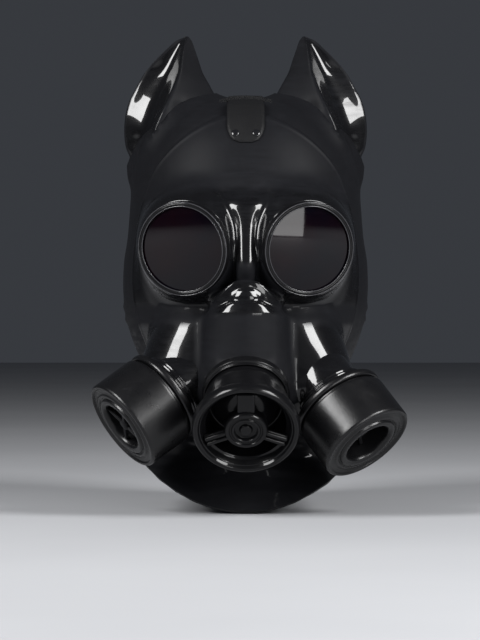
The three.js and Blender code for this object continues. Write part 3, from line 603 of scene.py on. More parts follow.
@dataclass(frozen=True)
class FaceForm:
    """The face piece's outer skin: an oval sheet round the front of the hood, and what is moulded in it."""

    hood: HoodForm
    wall: float = 2.4
    seat_gap: float = 0.6
    lip: float = 0.55
    top: float = 13.7
    bottom: float = 232.7
    half_angle: float = 58.0
    eye_spread: float = 0.475 * 85.3
    eye_drop: float = 107.0
    eye_standoff: float = 23.0
    eye_turn: float = 20.0
    eye_tilt: float = 9.0
    cup_foot: float = 42.0
    cup_shoulder: float = 38.5
    cup_cone: float = 8.5
    cup_depth: float = 24.0
    rim_seat: float = 31.6
    valve_drop: float = 202.2
    valve_standoff: float = 34.0
    valve_pitch: float = 36.0
    port_spread: float = 0.655 * 85.3
    port_standoff: float = 14.0
    port_below_valve: float = 3.0
    port_radius: float = 22.0
    port_length: float = 30.0
    # Height, how far ahead of the brow the crest lies, and its radius, from the bottom upwards.
    bridge_crest: tuple = (
        (-134.0, 17.0, 6.2),
        (-127.0, 21.3, 6.4),
        (-121.5, 25.2, 6.6),
        (-118.0, 26.2, 6.8),
        (-115.0, 25.8, 6.9),
        (-105.0, 24.0, 7.2),
        (-95.0, 22.2, 7.6),
        (-89.0, 21.1, 8.6),
        (-83.0, 19.9, 12.5),
        (-77.0, 18.4, 21.0),
        (-72.0, 14.8, 27.0),
        (-68.0, 8.8, 32.0),
        (-64.0, 4.8, 36.0),
        (-56.0, 3.0, 44.0),
        (-6.0, 3.0, 44.0),
    )
    # The two ends of a cheek's middle line, on the right, and its radius there.
    cheek: tuple = (((28.6, -68.3, -170.5), 36.0), ((42.0, -75.8, -196.3), 32.0))
    cheek_swell: float = 0.7
    cup_pinch: float = 4.0
    folds: tuple = (
        Fold(-127.0, (23.0, 26.0), (24.2, 25.0), 0.0, 13.0, 2.0, 0.72, 1.5, 2.0, 2.0),
        Fold(-131.9, (14.5, 19.0), (25.7, 26.0), 4.6, 12.0, 1.8, 0.36, 1.8, 1.0, 6.0),
        Fold(-140.0, (24.0, 29.0), (29.4, 31.4), 7.3, 16.0, 1.75, 0.42, 2.2, 1.4, 4.5),
    )
    filters: tuple = (
        FilterPlace(Side.LEFT, 0.938, 1.0, 0.17, -63.7, 33.4),
        FilterPlace(Side.RIGHT, 1.061, 1.1, 1.77, 47.9, 44.9),
    )

    @property
    def middle(self) -> float:
        """The height of the outline's middle."""
        return CROWN - (self.top + self.bottom) / 2

    @property
    def half_height(self) -> float:
        """Half the outline's height."""
        return (self.bottom - self.top) / 2

    def eye(self, side: Side) -> Array:
        """The frame of a lens, with its plane at zero."""
        x = side.value * self.eye_spread
        z = CROWN - self.eye_drop
        y = -self.hood.front_at(x, z) - self.eye_standoff
        return outward_frame((x, y, z), side.value * self.eye_turn, self.eye_tilt)

    def valve(self) -> Array:
        """The frame of the front valve, with the face piece's seat at zero."""
        z = CROWN - self.valve_drop
        return outward_frame(
            (0.0, -self.hood.front_at(0.0, z) - self.valve_standoff, z), 0.0, self.valve_pitch
        )

    def port(self, place: FilterPlace) -> Array:
        """The frame of a filter, with the port's mouth at zero."""
        y = -self.hood.front_at(0.0, CROWN - self.valve_drop) - place.ahead * self.port_standoff
        z = CROWN - self.valve_drop - place.below * self.port_below_valve
        return outward_frame(
            (place.side.value * place.out * self.port_spread, y, z), place.turn, place.pitch
        )


class FaceSkin:
    """Traces the face piece's outer skin from the forms that it is blended from."""

    def __init__(self, form: FaceForm) -> None:
        """Places every form once.

        Args:
            form: The face piece's sizes.
        """
        self.form = form
        hood = form.hood
        self.eyes = [form.eye(side) for side in Side]
        self.ports = [form.port(place) for place in form.filters]
        self.valve = form.valve()
        self.brow = hood.front_at(0.0, CROWN - 129.2)
        self.chin = np.array([0.0, -hood.front_at(0.0, CROWN - 207.7) + 18.0, CROWN - 207.7])
        rows = np.array(form.bridge_crest)
        fine = np.arange(rows[0, 0] - 12.0, rows[-1, 0] + 12.0, 0.5)
        bell = np.exp(-((np.arange(-14, 15) * 0.5 / 2.2) ** 2))
        ahead, radius = (np.interp(fine, rows[:, 0], rows[:, k]) for k in (1, 2))
        # Over the forehead the crest sinks under the plain sheet.
        sheet = hood.radius(np.zeros(fine.shape), fine) + form.seat_gap + form.wall - self.brow
        sheet = sheet - 9.0 * smoothstep(fine, -62.0, -38.0) + 40.0 * smoothstep(-fine, 58.0, 64.0)
        ahead = np.minimum(ahead, sheet)
        smooth = [np.convolve(row, bell / bell.sum(), mode="same") for row in (ahead, radius)]
        self.crest = np.stack([fine, smooth[0] + self.brow, smooth[1]])[:, 14:-14]

    def base(self, angle: Array, z: Array) -> Array:
        """The plain sheet's distance from the axis, with its edge rounded down to the hood."""
        form = self.form
        u = angle / math.radians(form.half_angle)
        v = (z - form.middle) / form.half_height
        out = np.hypot(u, v)
        edge = np.clip((out - 0.978) / 0.022, 0.0, 1.0)
        lift = form.wall * np.sqrt(np.maximum(1.0 - edge**2, 0.0))
        lip = form.lip * np.exp(-(((out - 0.97) / 0.011) ** 2))
        return form.hood.radius(angle, z) + form.seat_gap + lift + lip

    def bridge(self, p: Array) -> Array:
        """The ridge between the eye cups, broad where it leaves the brow and narrow below."""
        z = p[..., 2]
        heights, ahead, radii = self.crest
        radius = np.interp(z, heights, radii)
        behind = np.minimum(p[..., 1] + np.interp(z, heights, ahead) - radius, 0.0)
        return blend_high(np.hypot(p[..., 0], behind) - radius, heights[0] + 1.0 - z, 5.0) * 0.95

    def cheek(self, p: Array, side: Side) -> Array:
        """A cheek, swollen under the eye and narrower towards its port."""
        (start, wide), (end, narrow) = self.form.cheek
        mirror = np.array([side.value, 1.0, 1.0])
        first, line = np.array(start) * mirror, (np.array(end) - np.array(start)) * mirror
        share = np.clip(((p - first) @ line) / (line @ line), 0.0, 1.0)
        radius = wide + share * (narrow - wide) + self.form.cheek_swell * np.sin(math.pi * share)
        return np.linalg.norm(p - first - share[..., None] * line, axis=-1) - radius

    def loaf(self, p: Array, fold: Fold) -> Array:
        """An upright form with a flattened round front, closed by a soft top that droops at its sides.

        Args:
            p: Points.
            fold: Its sizes.

        Returns:
            Below zero inside it.
        """
        foot = CROWN - 208.7
        x, z = np.abs(p[..., 0]), p[..., 2]
        fall = np.clip((fold.top - z) / (fold.top - foot), 0.0, 1.0)
        half = fold.half[0] + (fold.half[1] - fold.half[0]) * fall
        slanted = np.clip(fold.top - z, 0.0, fold.slant) * math.tan(math.radians(18.0))
        ahead = self.brow + fold.reach[0] + (fold.reach[1] - fold.reach[0]) * fall + slanted
        qy = np.maximum(-p[..., 1] - (ahead - fold.depth), 0.0) / fold.depth
        wall = (((x / half) ** fold.square + qy**fold.square) ** (1 / fold.square) - 1.0) * fold.depth
        cover = z - fold.top + fold.droop * np.maximum(x - fold.half[0] * 0.36, 0.0)
        soft = fold.soft + fold.fade * smoothstep(x, 11.0, 19.0)
        return blend_high(blend_high(wall, cover, soft), foot - z, 6.0)

    def field(self, p: Array, base: Array) -> Array:
        """Below zero inside the face piece, above it outside.

        Args:
            p: Points.
            base: Their distance from the plain sheet.

        Returns:
            The blended field.
        """
        form = self.form
        out = base
        for side, frame in zip(Side, self.eyes):
            q = into_frame(p, frame)
            ring = np.hypot(q[..., 0], q[..., 1])
            pinch = form.cup_pinch * smoothstep(-side.value * q[..., 0] / np.maximum(ring, 1.0), 0.3, 0.97)
            wall = (ring - form.cup_foot + pinch - 0.25 * (-form.cup_depth - q[..., 2])) * 0.97
            slope = (form.cup_shoulder - pinch - form.rim_seat) / form.cup_cone
            cone = (ring - form.rim_seat + slope * q[..., 2]) / np.hypot(1.0, slope)
            cup = blend_high(blend_high(wall, cone, 3.0), q[..., 2], 0.6)
            out = blend_low(out, cup, 9.0)
        out = blend_low(out, self.bridge(p), 3.5)
        for side in Side:
            out = blend_low(out, self.cheek(p, side), 6.0)
        out = blend_low(out, ellipsoid_field(p, self.chin, np.array([46.0, 32.0, 25.0])), 14.0)
        for frame in self.ports:
            inner = out_of_frame(np.array([0.0, 0.0, -form.port_length]), frame)
            outer = out_of_frame(np.array([0.0, 0.0, -form.port_radius - 6.0]), frame)
            out = blend_low(out, capsule_field(p, inner, outer, form.port_radius), 5.0)
        root = self.valve[:3, 3]
        out = blend_low(out, capsule_field(p, root + np.array([0.0, 40.0, 16.0]), root, 26.0), 8.0)
        for fold in self.form.folds:
            beside = smoothstep(np.abs(p[..., 0]), 12.0, 20.0) * smoothstep(fold.top - p[..., 2], 1.0, 10.0)
            out = blend_low(out, self.loaf(p, fold), fold.join + 4.0 * beside)
        return out

    def reach(self, angle: Array, z: Array) -> Array:
        """The skin's distance from the axis: the first point inside on the way in from outside."""
        plain = self.base(angle, z)
        s, c = np.sin(angle), np.cos(angle)

        def inside(r: Array) -> Array:
            """Whether points at distance `r` lie inside."""
            p = np.stack([r * s, -r * c, z], axis=-1)
            return self.field(p, r - plain) < 0

        r = plain + 72.0
        found = np.zeros(r.shape, bool)
        for _ in range(60):
            found |= inside(r)
            r = np.where(found, r, r - 1.2)
            if found.all():
                break
        low, high = np.maximum(r, plain), r + 1.2
        for _ in range(14):
            middle = (low + high) / 2
            hit = inside(middle)
            low, high = np.where(hit, middle, low), np.where(hit, high, middle)
        return np.maximum((low + high) / 2, plain)


# Finishes


class NodeKit:
    """Adds and joins nodes of one tree."""

    def __init__(self, tree: bpy.types.NodeTree) -> None:
        """Starts on an empty tree."""
        self.tree = tree

    def node(self, kind: str, inputs: dict | None = None, **settings: object) -> bpy.types.Node:
        """A node with its settings and its input values or links.

        Args:
            kind: The node's type.
            inputs: Values or output sockets by input name or number.
            settings: Properties of the node.

        Returns:
            The node.
        """
        node = self.tree.nodes.new(kind)
        for name, value in settings.items():
            setattr(node, name, value)
        for key, value in (inputs or {}).items():
            self.feed(node.inputs[key], value)
        return node

    def feed(self, socket: bpy.types.NodeSocket, value: object) -> None:
        """Links an output to the socket, or sets the socket's value."""
        if isinstance(value, bpy.types.NodeSocket):
            self.tree.links.new(value, socket)
        else:
            socket.default_value = value

    def maths(
        self, operation: str, a: object, b: object = 0.0, clamp: bool = False
    ) -> bpy.types.NodeSocket:
        """The result of a Math node."""
        node = self.node("ShaderNodeMath", operation=operation, use_clamp=clamp)
        self.feed(node.inputs[0], a)
        self.feed(node.inputs[1], b)
        return node.outputs[0]

    def noise(
        self, vector: object, scale: float, detail: float, roughness: float = 0.5
    ) -> bpy.types.NodeSocket:
        """A noise value over the vector."""
        node = self.node(
            "ShaderNodeTexNoise", {
                "Vector": vector, "Scale": scale, "Detail": detail, "Roughness": roughness
            }
        )
        return node.outputs["Fac"]

    def spread(self, value: object, low: float, high: float) -> bpy.types.NodeSocket:
        """The value's stretch from low to high brought to 0 to 1 and kept there."""
        node = self.node("ShaderNodeMapRange", {"Value": value, "From Min": low, "From Max": high})
        return node.outputs["Result"]


def group_of(name: str, inputs: dict[str, tuple[str, object]], outputs: dict[str, str]) -> tuple:
    """An empty shader node group with its sockets.

    Args:
        name: The group's name.
        inputs: Socket type and default by name.
        outputs: Socket type by name.

    Returns:
        The group, its kit, its input node and its output node.
    """
    group = bpy.data.node_groups.new(name, "ShaderNodeTree")
    for label, (kind, default) in inputs.items():
        socket = group.interface.new_socket(label, in_out="INPUT", socket_type=kind)
        if default is not None:
            socket.default_value = default
    for label, kind in outputs.items():
        group.interface.new_socket(label, in_out="OUTPUT", socket_type=kind)
    kit = NodeKit(group)
    return group, kit, kit.node("NodeGroupInput"), kit.node("NodeGroupOutput")


class SurfaceGroups:
    """The effects that several finishes share, each built once."""

    def __init__(self) -> None:
        """Builds the groups."""
        self.skin = self._skin()
        self.grain = self._grain()

    @staticmethod
    def _skin() -> bpy.types.NodeTree:
        """Polished rubber: smears and dust on its gloss, a painted sheen that lightens the colour where it
        is satin, and the slow waves of a stretched sheet.
        """
        group, kit, given, out = group_of(
            "polished_skin",
            {
                "Vector": ("NodeSocketVector", None),
                "Color": ("NodeSocketColor", (0.01, 0.01, 0.011, 1)),
                "Bloom": ("NodeSocketColor", (0.04, 0.04, 0.045, 1)),
                "Gloss": ("NodeSocketFloat", 0.12),
                "Satin Gloss": ("NodeSocketFloat", 0.42),
                "Satin": ("NodeSocketFloat", 0.0),
                "Smears": ("NodeSocketFloat", 0.1),
                "Dust": ("NodeSocketFloat", 0.2),
                "Waves": ("NodeSocketFloat", 0.3),
            },
            {
                "Color": "NodeSocketColor",
                "Roughness": "NodeSocketFloat",
                "Polish": "NodeSocketFloat",
                "Height": "NodeSocketFloat",
            },
        )
        place = given.outputs["Vector"]
        slow = kit.noise(place, 21.0, 4.0, 0.6)
        fine = kit.noise(place, 170.0, 5.0, 0.65)
        wipe = kit.node(
            "ShaderNodeMapping",
            {"Vector": place, "Scale": (60.0, 60.0, 420.0), "Rotation": (0.3, 0.5, 0.1)},
        )
        wiped = kit.noise(wipe.outputs[0], 1.0, 3.0, 0.55)
        smear = kit.maths("MULTIPLY", kit.spread(slow, 0.42, 0.68), kit.spread(wiped, 0.35, 0.7))
        smear = kit.maths("ADD", smear, kit.maths("MULTIPLY", kit.spread(fine, 0.5, 0.8), 0.35))
        base = kit.node("ShaderNodeMix", data_type="FLOAT")
        kit.feed(base.inputs[0], given.outputs["Satin"])
        kit.feed(base.inputs[2], given.outputs["Gloss"])
        kit.feed(base.inputs[3], given.outputs["Satin Gloss"])
        rough = kit.maths("MULTIPLY_ADD", smear, given.outputs["Smears"])
        kit.feed(rough.node.inputs[2], base.outputs[0])
        specks = kit.node("ShaderNodeTexVoronoi", {"Vector": place, "Scale": 260.0}, feature="F1")
        dots = kit.maths("LESS_THAN", specks.outputs["Distance"], 0.055)
        some = kit.maths("GREATER_THAN", kit.noise(place, 95.0, 2.0), 0.57)
        dust = kit.maths("MULTIPLY", kit.maths("MULTIPLY", dots, some), given.outputs["Dust"])
        # Smears lighten the colour a little; the satin share lightens it more, as a painted sheen.
        smears_and_sheen = kit.maths(
            "ADD", kit.maths("MULTIPLY", smear, 0.3), kit.maths("MULTIPLY", given.outputs["Satin"], 0.35)
        )
        fac = kit.maths("ADD", smears_and_sheen, dust, clamp=True)
        mix = kit.node("ShaderNodeMix", data_type="RGBA")
        kit.feed(mix.inputs[0], fac)
        kit.feed(mix.inputs[6], given.outputs["Color"])
        kit.feed(mix.inputs[7], given.outputs["Bloom"])
        wave = kit.maths("MULTIPLY", kit.noise(place, 30.0, 2.0, 0.4), given.outputs["Waves"])
        kit.feed(out.inputs["Color"], mix.outputs[2])
        kit.feed(
            out.inputs["Roughness"], kit.maths("ADD", rough, kit.maths("MULTIPLY", dust, 0.3), clamp=True)
        )
        dull = kit.maths("MULTIPLY", kit.maths("MULTIPLY", smear, given.outputs["Smears"]), 2.5)
        bare = kit.maths("ADD", given.outputs["Satin"], dull, clamp=True)
        kit.feed(out.inputs["Polish"], kit.maths("SUBTRACT", 1.0, bare))
        kit.feed(out.inputs["Height"], wave)
        return group

    @staticmethod
    def _grain() -> bpy.types.NodeTree:
        """A moulded face's fine grain, with scuffs that lift its colour."""
        group, kit, given, out = group_of(
            "moulded_grain",
            {
                "Vector": ("NodeSocketVector", None),
                "Color": ("NodeSocketColor", (0.01, 0.01, 0.011, 1)),
                "Worn": ("NodeSocketColor", (0.05, 0.05, 0.055, 1)),
                "Gloss": ("NodeSocketFloat", 0.3),
                "Depth": ("NodeSocketFloat", 0.3),
                "Scuffs": ("NodeSocketFloat", 0.2),
            },
            {"Color": "NodeSocketColor", "Roughness": "NodeSocketFloat", "Height": "NodeSocketFloat"},
        )
        place = given.outputs["Vector"]
        cells = kit.node("ShaderNodeTexVoronoi", {"Vector": place, "Scale": 1500.0}, feature="SMOOTH_F1")
        height = kit.maths("MULTIPLY", cells.outputs["Distance"], given.outputs["Depth"])
        patches = kit.noise(place, 48.0, 5.0, 0.65)
        streak = kit.node(
            "ShaderNodeMapping",
            {"Vector": place, "Scale": (90.0, 520.0, 90.0), "Rotation": (0.4, 0.2, 0.7)},
        )
        scratch = kit.spread(kit.noise(streak.outputs[0], 1.0, 4.0, 0.6), 0.6, 0.78)
        scuff = kit.maths(
            "MULTIPLY",
            kit.maths("MULTIPLY", scratch, kit.spread(patches, 0.4, 0.7)),
            given.outputs["Scuffs"],
        )
        mix = kit.node("ShaderNodeMix", data_type="RGBA")
        kit.feed(mix.inputs[0], scuff)
        kit.feed(mix.inputs[6], given.outputs["Color"])
        kit.feed(mix.inputs[7], given.outputs["Worn"])
        rough = kit.maths("MULTIPLY_ADD", kit.spread(patches, 0.3, 0.75), 0.12)
        kit.feed(rough.node.inputs[2], given.outputs["Gloss"])
        kit.feed(out.inputs["Color"], mix.outputs[2])
        kit.feed(
            out.inputs["Roughness"], kit.maths("ADD", rough, kit.maths("MULTIPLY", scuff, 0.3), clamp=True)
        )
        kit.feed(out.inputs["Height"], height)
        return group


@dataclass(frozen=True)
class Finish:
    """A finish of one of the mask's materials."""

    name: str
    colour: tuple = (0.0035, 0.0035, 0.004)
    gloss: float = 0.1
    coat: float = 0.0
    coat_gloss: float = 0.04
    coat_ior: float = 1.42
    specular: float = 0.06
    ior: float = 1.5
    bump: float = 0.12
    bump_distance: float = 0.004

    def start(self) -> tuple[bpy.types.Material, NodeKit, bpy.types.Node, bpy.types.NodeSocket]:
        """A new material with its main shader.

        Returns:
            The material, its kit, its shader and the object coordinates.
        """
        material = bpy.data.materials.new(self.name)
        material.use_nodes = True
        material.node_tree.nodes.clear()
        kit = NodeKit(material.node_tree)
        shader = kit.node("ShaderNodeBsdfPrincipled")
        shader.inputs["Coat Weight"].default_value = self.coat
        shader.inputs["Coat Roughness"].default_value = self.coat_gloss
        shader.inputs["Coat IOR"].default_value = self.coat_ior
        shader.inputs["Specular IOR Level"].default_value = self.specular
        shader.inputs["IOR"].default_value = self.ior
        kit.node("ShaderNodeOutputMaterial", {"Surface": shader.outputs[0]})
        place = kit.node("ShaderNodeTexCoord").outputs["Object"]
        return material, kit, shader, place

    def dress(self, kit: NodeKit, shader: bpy.types.Node, node: bpy.types.Node) -> None:
        """Joins a surface group to the shader."""
        kit.feed(shader.inputs["Base Color"], node.outputs["Color"])
        kit.feed(shader.inputs["Roughness"], node.outputs["Roughness"])
        bump = kit.node("ShaderNodeBump", {"Height": node.outputs["Height"]})
        bump.inputs["Strength"].default_value = self.bump
        bump.inputs["Distance"].default_value = self.bump_distance
        kit.feed(shader.inputs["Normal"], bump.outputs[0])


@dataclass(frozen=True)
class RubberFinish(Finish):
    """Polished black rubber."""

    coat: float = 1.0
    # The lighter colour that smears and the painted sheen of satin zones mix towards.
    bloom: tuple = (0.012, 0.0125, 0.015)
    satin_gloss: float = 0.5
    smears: float = 0.12
    dust: float = 0.3
    waves: float = 1.0

    def make(self, groups: SurfaceGroups) -> bpy.types.Material:
        """The material."""
        material, kit, shader, place = self.start()
        node = kit.node("ShaderNodeGroup", node_tree=groups.skin)
        kit.feed(node.inputs["Vector"], place)
        node.inputs["Color"].default_value = (*self.colour, 1)
        node.inputs["Bloom"].default_value = (*self.bloom, 1)
        node.inputs["Gloss"].default_value = self.gloss
        node.inputs["Satin Gloss"].default_value = self.satin_gloss
        kit.feed(
            node.inputs["Satin"], kit.node("ShaderNodeAttribute", attribute_name="satin").outputs["Fac"]
        )
        node.inputs["Smears"].default_value = self.smears
        node.inputs["Dust"].default_value = self.dust
        node.inputs["Waves"].default_value = self.waves
        kit.feed(shader.inputs["Coat Weight"], node.outputs["Polish"])
        self.dress(kit, shader, node)
        return material


@dataclass(frozen=True)
class MouldedFinish(Finish):
    """Moulded black plastic with a fine grain."""

    worn: tuple = (0.03, 0.03, 0.034)
    depth: float = 0.3
    scuffs: float = 0.3

    def make(self, groups: SurfaceGroups) -> bpy.types.Material:
        """The material."""
        material, kit, shader, place = self.start()
        node = kit.node("ShaderNodeGroup", node_tree=groups.grain)
        kit.feed(node.inputs["Vector"], place)
        node.inputs["Color"].default_value = (*self.colour, 1)
        node.inputs["Worn"].default_value = (*self.worn, 1)
        node.inputs["Gloss"].default_value = self.gloss
        node.inputs["Depth"].default_value = self.depth
        node.inputs["Scuffs"].default_value = self.scuffs
        self.dress(kit, shader, node)
        return material


@dataclass(frozen=True)
class LensFinish(Finish):
    """A dark lens with plum and slate clouds in its tint."""

    plum: tuple = (0.0035, 0.001, 0.002)
    slate: tuple = (0.001, 0.001, 0.0025)

    def make(self, groups: SurfaceGroups) -> bpy.types.Material:
        """The material."""
        material, kit, shader, place = self.start()
        cloud = kit.spread(kit.noise(place, 30.0, 3.0, 0.5), 0.35, 0.65)
        mix = kit.node("ShaderNodeMix", data_type="RGBA")
        kit.feed(mix.inputs[0], cloud)
        mix.inputs[6].default_value = (*self.plum, 1)
        mix.inputs[7].default_value = (*self.slate, 1)
        kit.feed(shader.inputs["Base Color"], mix.outputs[2])
        smear = kit.spread(kit.noise(place, 70.0, 4.0, 0.6), 0.45, 0.85)
        rough = kit.maths("MULTIPLY_ADD", smear, 0.05)
        kit.feed(rough.node.inputs[2], self.gloss)
        kit.feed(shader.inputs["Roughness"], rough)
        return material


class Finishes:
    """Every finish of the mask, by slot."""

    table: dict = {
        Slot.HOOD: RubberFinish("hood_rubber", gloss=0.3, smears=0.16, waves=1.0, bump=0.16),
        Slot.FACE: RubberFinish(
            "face_rubber", gloss=0.24, coat_gloss=0.06, smears=0.14, waves=1.2, bump=0.14
        ),
        Slot.EAR: RubberFinish("ear_rubber", gloss=0.24, smears=0.14, waves=1.0, bump=0.12),
        Slot.LENS: LensFinish("lens_tint", gloss=0.03, specular=0.5, ior=1.32),
        Slot.RIM: MouldedFinish("rim_rubber", gloss=0.3, coat=0.3, coat_gloss=0.06, depth=0.1, bump=0.06),
        Slot.VALVE: MouldedFinish(
            "valve_plastic", gloss=0.3, coat=0.45, coat_gloss=0.05, depth=0.12, bump=0.08
        ),
        # The rim's beads are a lighter grey than the rim: a painted highlight along its inner and outer
        # edge.
        "rim_bead_highlight": RubberFinish(
            "rim_bead_highlight", colour=(0.03, 0.03, 0.033), bloom=(0.1, 0.1, 0.11), gloss=0.16, waves=0.0
        ),
        Slot.RING: RubberFinish("ring_rubber", gloss=0.2, waves=0.0),
        Slot.FILTER: MouldedFinish("filter_plastic", gloss=0.24, specular=0.34, depth=0.1, bump=0.1),
        Slot.GRILLE: MouldedFinish("grille_plastic", colour=(0.01, 0.01, 0.011), gloss=0.35, depth=0.2),
        Slot.STRAP: MouldedFinish(
            "strap_rubber", colour=(0.006, 0.006, 0.0065), gloss=0.45, specular=0.15, depth=0.2
        ),
        Slot.STUD: RubberFinish("stud_rubber", colour=(0.006, 0.006, 0.007), gloss=0.3, waves=0.0),
    }

    def __init__(self) -> None:
        """Makes the materials."""
        groups = SurfaceGroups()
        self.of = {slot: finish.make(groups) for slot, finish in self.table.items()}


# Repeated forms, as Geometry Nodes


class Trees:
    """The Geometry Nodes trees that repeat a form, each built once."""

    def __init__(self) -> None:
        """Builds the trees."""
        self.beads = self._beads()
        self.arms = self._arms()
        self.pimples = self._pimples()

    @staticmethod
    def _start(name: str, inputs: dict[str, tuple[str, object]]) -> tuple:
        """An empty tree with its sockets.

        Args:
            name: The tree's name.
            inputs: Socket type and default by name.

        Returns:
            The tree, its kit, its input node and its output node.
        """
        tree = bpy.data.node_groups.new(name, "GeometryNodeTree")
        tree.interface.new_socket("Geometry", in_out="INPUT", socket_type="NodeSocketGeometry")
        for label, (kind, default) in inputs.items():
            socket = tree.interface.new_socket(label, in_out="INPUT", socket_type=kind)
            if default is not None:
                socket.default_value = default
        tree.interface.new_socket("Geometry", in_out="OUTPUT", socket_type="NodeSocketGeometry")
        kit = NodeKit(tree)
        return tree, kit, kit.node("NodeGroupInput"), kit.node("NodeGroupOutput")

    @staticmethod
    def _end(
        kit: NodeKit, geometry: bpy.types.NodeSocket, given: bpy.types.Node, out: bpy.types.Node
    ) -> None:
        """Makes instances real, shades them smooth and gives them their material."""
        real = kit.node("GeometryNodeRealizeInstances", {"Geometry": geometry})
        smooth = kit.node("GeometryNodeSetShadeSmooth", {"Geometry": real.outputs[0]})
        painted = kit.node("GeometryNodeSetMaterial", {"Geometry": smooth.outputs[0]})
        kit.feed(painted.inputs["Material"], given.outputs["Material"])
        kit.feed(out.inputs[0], painted.outputs[0])

    def _beads(self) -> bpy.types.NodeTree:
        """Round beads in a row along an axis, each a ring about it."""
        tree, kit, given, out = self._start(
            "bead_rings",
            {
                "Ring Radius": ("NodeSocketFloat", 0.03),
                "Bead Radius": ("NodeSocketFloat", 0.001),
                "Rings": ("NodeSocketInt", 1),
                "Spacing": ("NodeSocketFloat", 0.002),
                "Material": ("NodeSocketMaterial", None),
            },
        )
        ring = kit.node(
            "GeometryNodeCurvePrimitiveCircle", {"Resolution": 112, "Radius": given.outputs["Ring Radius"]}
        )
        bead = kit.node(
            "GeometryNodeCurvePrimitiveCircle", {"Resolution": 14, "Radius": given.outputs["Bead Radius"]}
        )
        swept = kit.node("GeometryNodeCurveToMesh")
        kit.feed(swept.inputs["Curve"], ring.outputs[0])
        kit.feed(swept.inputs["Profile Curve"], bead.outputs[0])
        step = kit.node("ShaderNodeCombineXYZ", {"Z": given.outputs["Spacing"]})
        line = kit.node(
            "GeometryNodeMeshLine", {"Count": given.outputs["Rings"], "Offset": step.outputs[0]}
        )
        placed = kit.node(
            "GeometryNodeInstanceOnPoints", {"Points": line.outputs[0], "Instance": swept.outputs[0]}
        )
        self._end(kit, placed.outputs[0], given, out)
        return tree

    def _arms(self) -> bpy.types.NodeTree:
        """Bars that stand out from an axis, one for each point of the base, turned by its `turn`."""
        tree, kit, given, out = self._start(
            "arms_round_a_hub",
            {
                "Size": ("NodeSocketVector", None),
                "Inner": ("NodeSocketFloat", 0.01),
                "Material": ("NodeSocketMaterial", None),
            },
        )
        bar = kit.node("GeometryNodeMeshCube", {"Size": given.outputs["Size"]})
        parts = kit.node("ShaderNodeSeparateXYZ", {"Vector": given.outputs["Size"]})
        half = kit.maths("MULTIPLY", parts.outputs["X"], 0.5)
        shift = kit.node("ShaderNodeCombineXYZ", {"X": kit.maths("ADD", half, given.outputs["Inner"])})
        moved = kit.node(
            "GeometryNodeTransform", {"Geometry": bar.outputs[0], "Translation": shift.outputs[0]}
        )
        turn = kit.node("GeometryNodeInputNamedAttribute", {"Name": "turn"}, data_type="FLOAT")
        spin = kit.node("ShaderNodeCombineXYZ", {"Z": turn.outputs["Attribute"]})
        placed = kit.node("GeometryNodeInstanceOnPoints")
        kit.feed(placed.inputs["Points"], given.outputs["Geometry"])
        kit.feed(placed.inputs["Instance"], moved.outputs[0])
        kit.feed(placed.inputs["Rotation"], spin.outputs[0])
        self._end(kit, placed.outputs[0], given, out)
        return tree

    def _pimples(self) -> bpy.types.NodeTree:
        """Low pimples scattered over the base's faces."""
        tree, kit, given, out = self._start(
            "scattered_pimples",
            {
                "Density": ("NodeSocketFloat", 1.0),
                "Radius": ("NodeSocketFloat", 0.0004),
                "Seed": ("NodeSocketInt", 3),
                "Material": ("NodeSocketMaterial", None),
            },
        )
        spots = kit.node("GeometryNodeDistributePointsOnFaces", distribute_method="POISSON")
        kit.feed(spots.inputs["Mesh"], given.outputs["Geometry"])
        kit.feed(spots.inputs["Distance Min"], kit.maths("MULTIPLY", given.outputs["Radius"], 1.9))
        kit.feed(spots.inputs["Density Max"], given.outputs["Density"])
        kit.feed(spots.inputs["Seed"], given.outputs["Seed"])
        ball = kit.node("GeometryNodeMeshIcoSphere", {"Radius": given.outputs["Radius"], "Subdivisions": 1})
        sizes = kit.node("FunctionNodeRandomValue", data_type="FLOAT")
        sizes.inputs[2].default_value = 0.6
        sizes.inputs[3].default_value = 1.25
        placed = kit.node("GeometryNodeInstanceOnPoints")
        kit.feed(placed.inputs["Points"], spots.outputs["Points"])
        kit.feed(placed.inputs["Instance"], ball.outputs[0])
        kit.feed(placed.inputs["Scale"], sizes.outputs[1])
        self._end(kit, placed.outputs[0], given, out)
        return tree


# The mask's pieces


@dataclass
class Bench:
    """What every piece is built with."""

    shop: Workshop
    finishes: Finishes
    trees: Trees
    hood: HoodForm
    face: FaceForm
    skin: FaceSkin

    def material(self, slot: Slot) -> bpy.types.Material:
        """The finish of a slot."""
        return self.finishes.of[slot]

    def round_piece(
        self,
        name: str,
        profile: Sequence,
        frame: Array,
        slot: Slot,
        nodes: Sequence[str] = (),
        soft: float = 0.6,
    ) -> bpy.types.Object:
        """A turned piece in a frame.

        Args:
            name: The piece's name.
            profile: Its section.
            frame: The frame whose third axis it is turned about.
            slot: Its finish.
            nodes: The part's nodes that it stands for.
            soft: Rounding of its edges.

        Returns:
            The piece.
        """
        points, faces = turned(profile, soft=soft)
        mesh = mesh_of(name, out_of_frame(points, frame), faces)
        return self.shop.piece(name, mesh, self.material(slot), slot, nodes)

    def beads(
        self, name: str, frame: Array, slot: Slot, ring: float, bead: float, height: float, count: int = 1,
        step: float = 0.0, finish: object = None,
    ) -> bpy.types.Object:
        """Bead rings in a frame.

        Args:
            name: The piece's name.
            frame: The frame that they are turned about.
            slot: Their finish.
            ring: Radius of each ring.
            bead: Radius of the bead.
            height: Where the first lies along the axis.
            count: How many there are.
            step: The distance from one to the next.
            finish: A finish of their own.

        Returns:
            The piece.
        """
        place = frame.copy()
        place[:3, 3] = out_of_frame(np.array([0.0, 0.0, height]), frame)
        values = {
            "Ring Radius": ring * MM,
            "Bead Radius": bead * MM,
            "Rings": count,
            "Spacing": step * MM,
            "Material": self.material(finish or slot),
        }
        base = (np.zeros((1, 3)), [])
        mesh = self.shop.grown(name, base, self.trees.beads, values, place)
        return self.shop.piece(name, recalculated(mesh), self.material(finish or slot), slot)


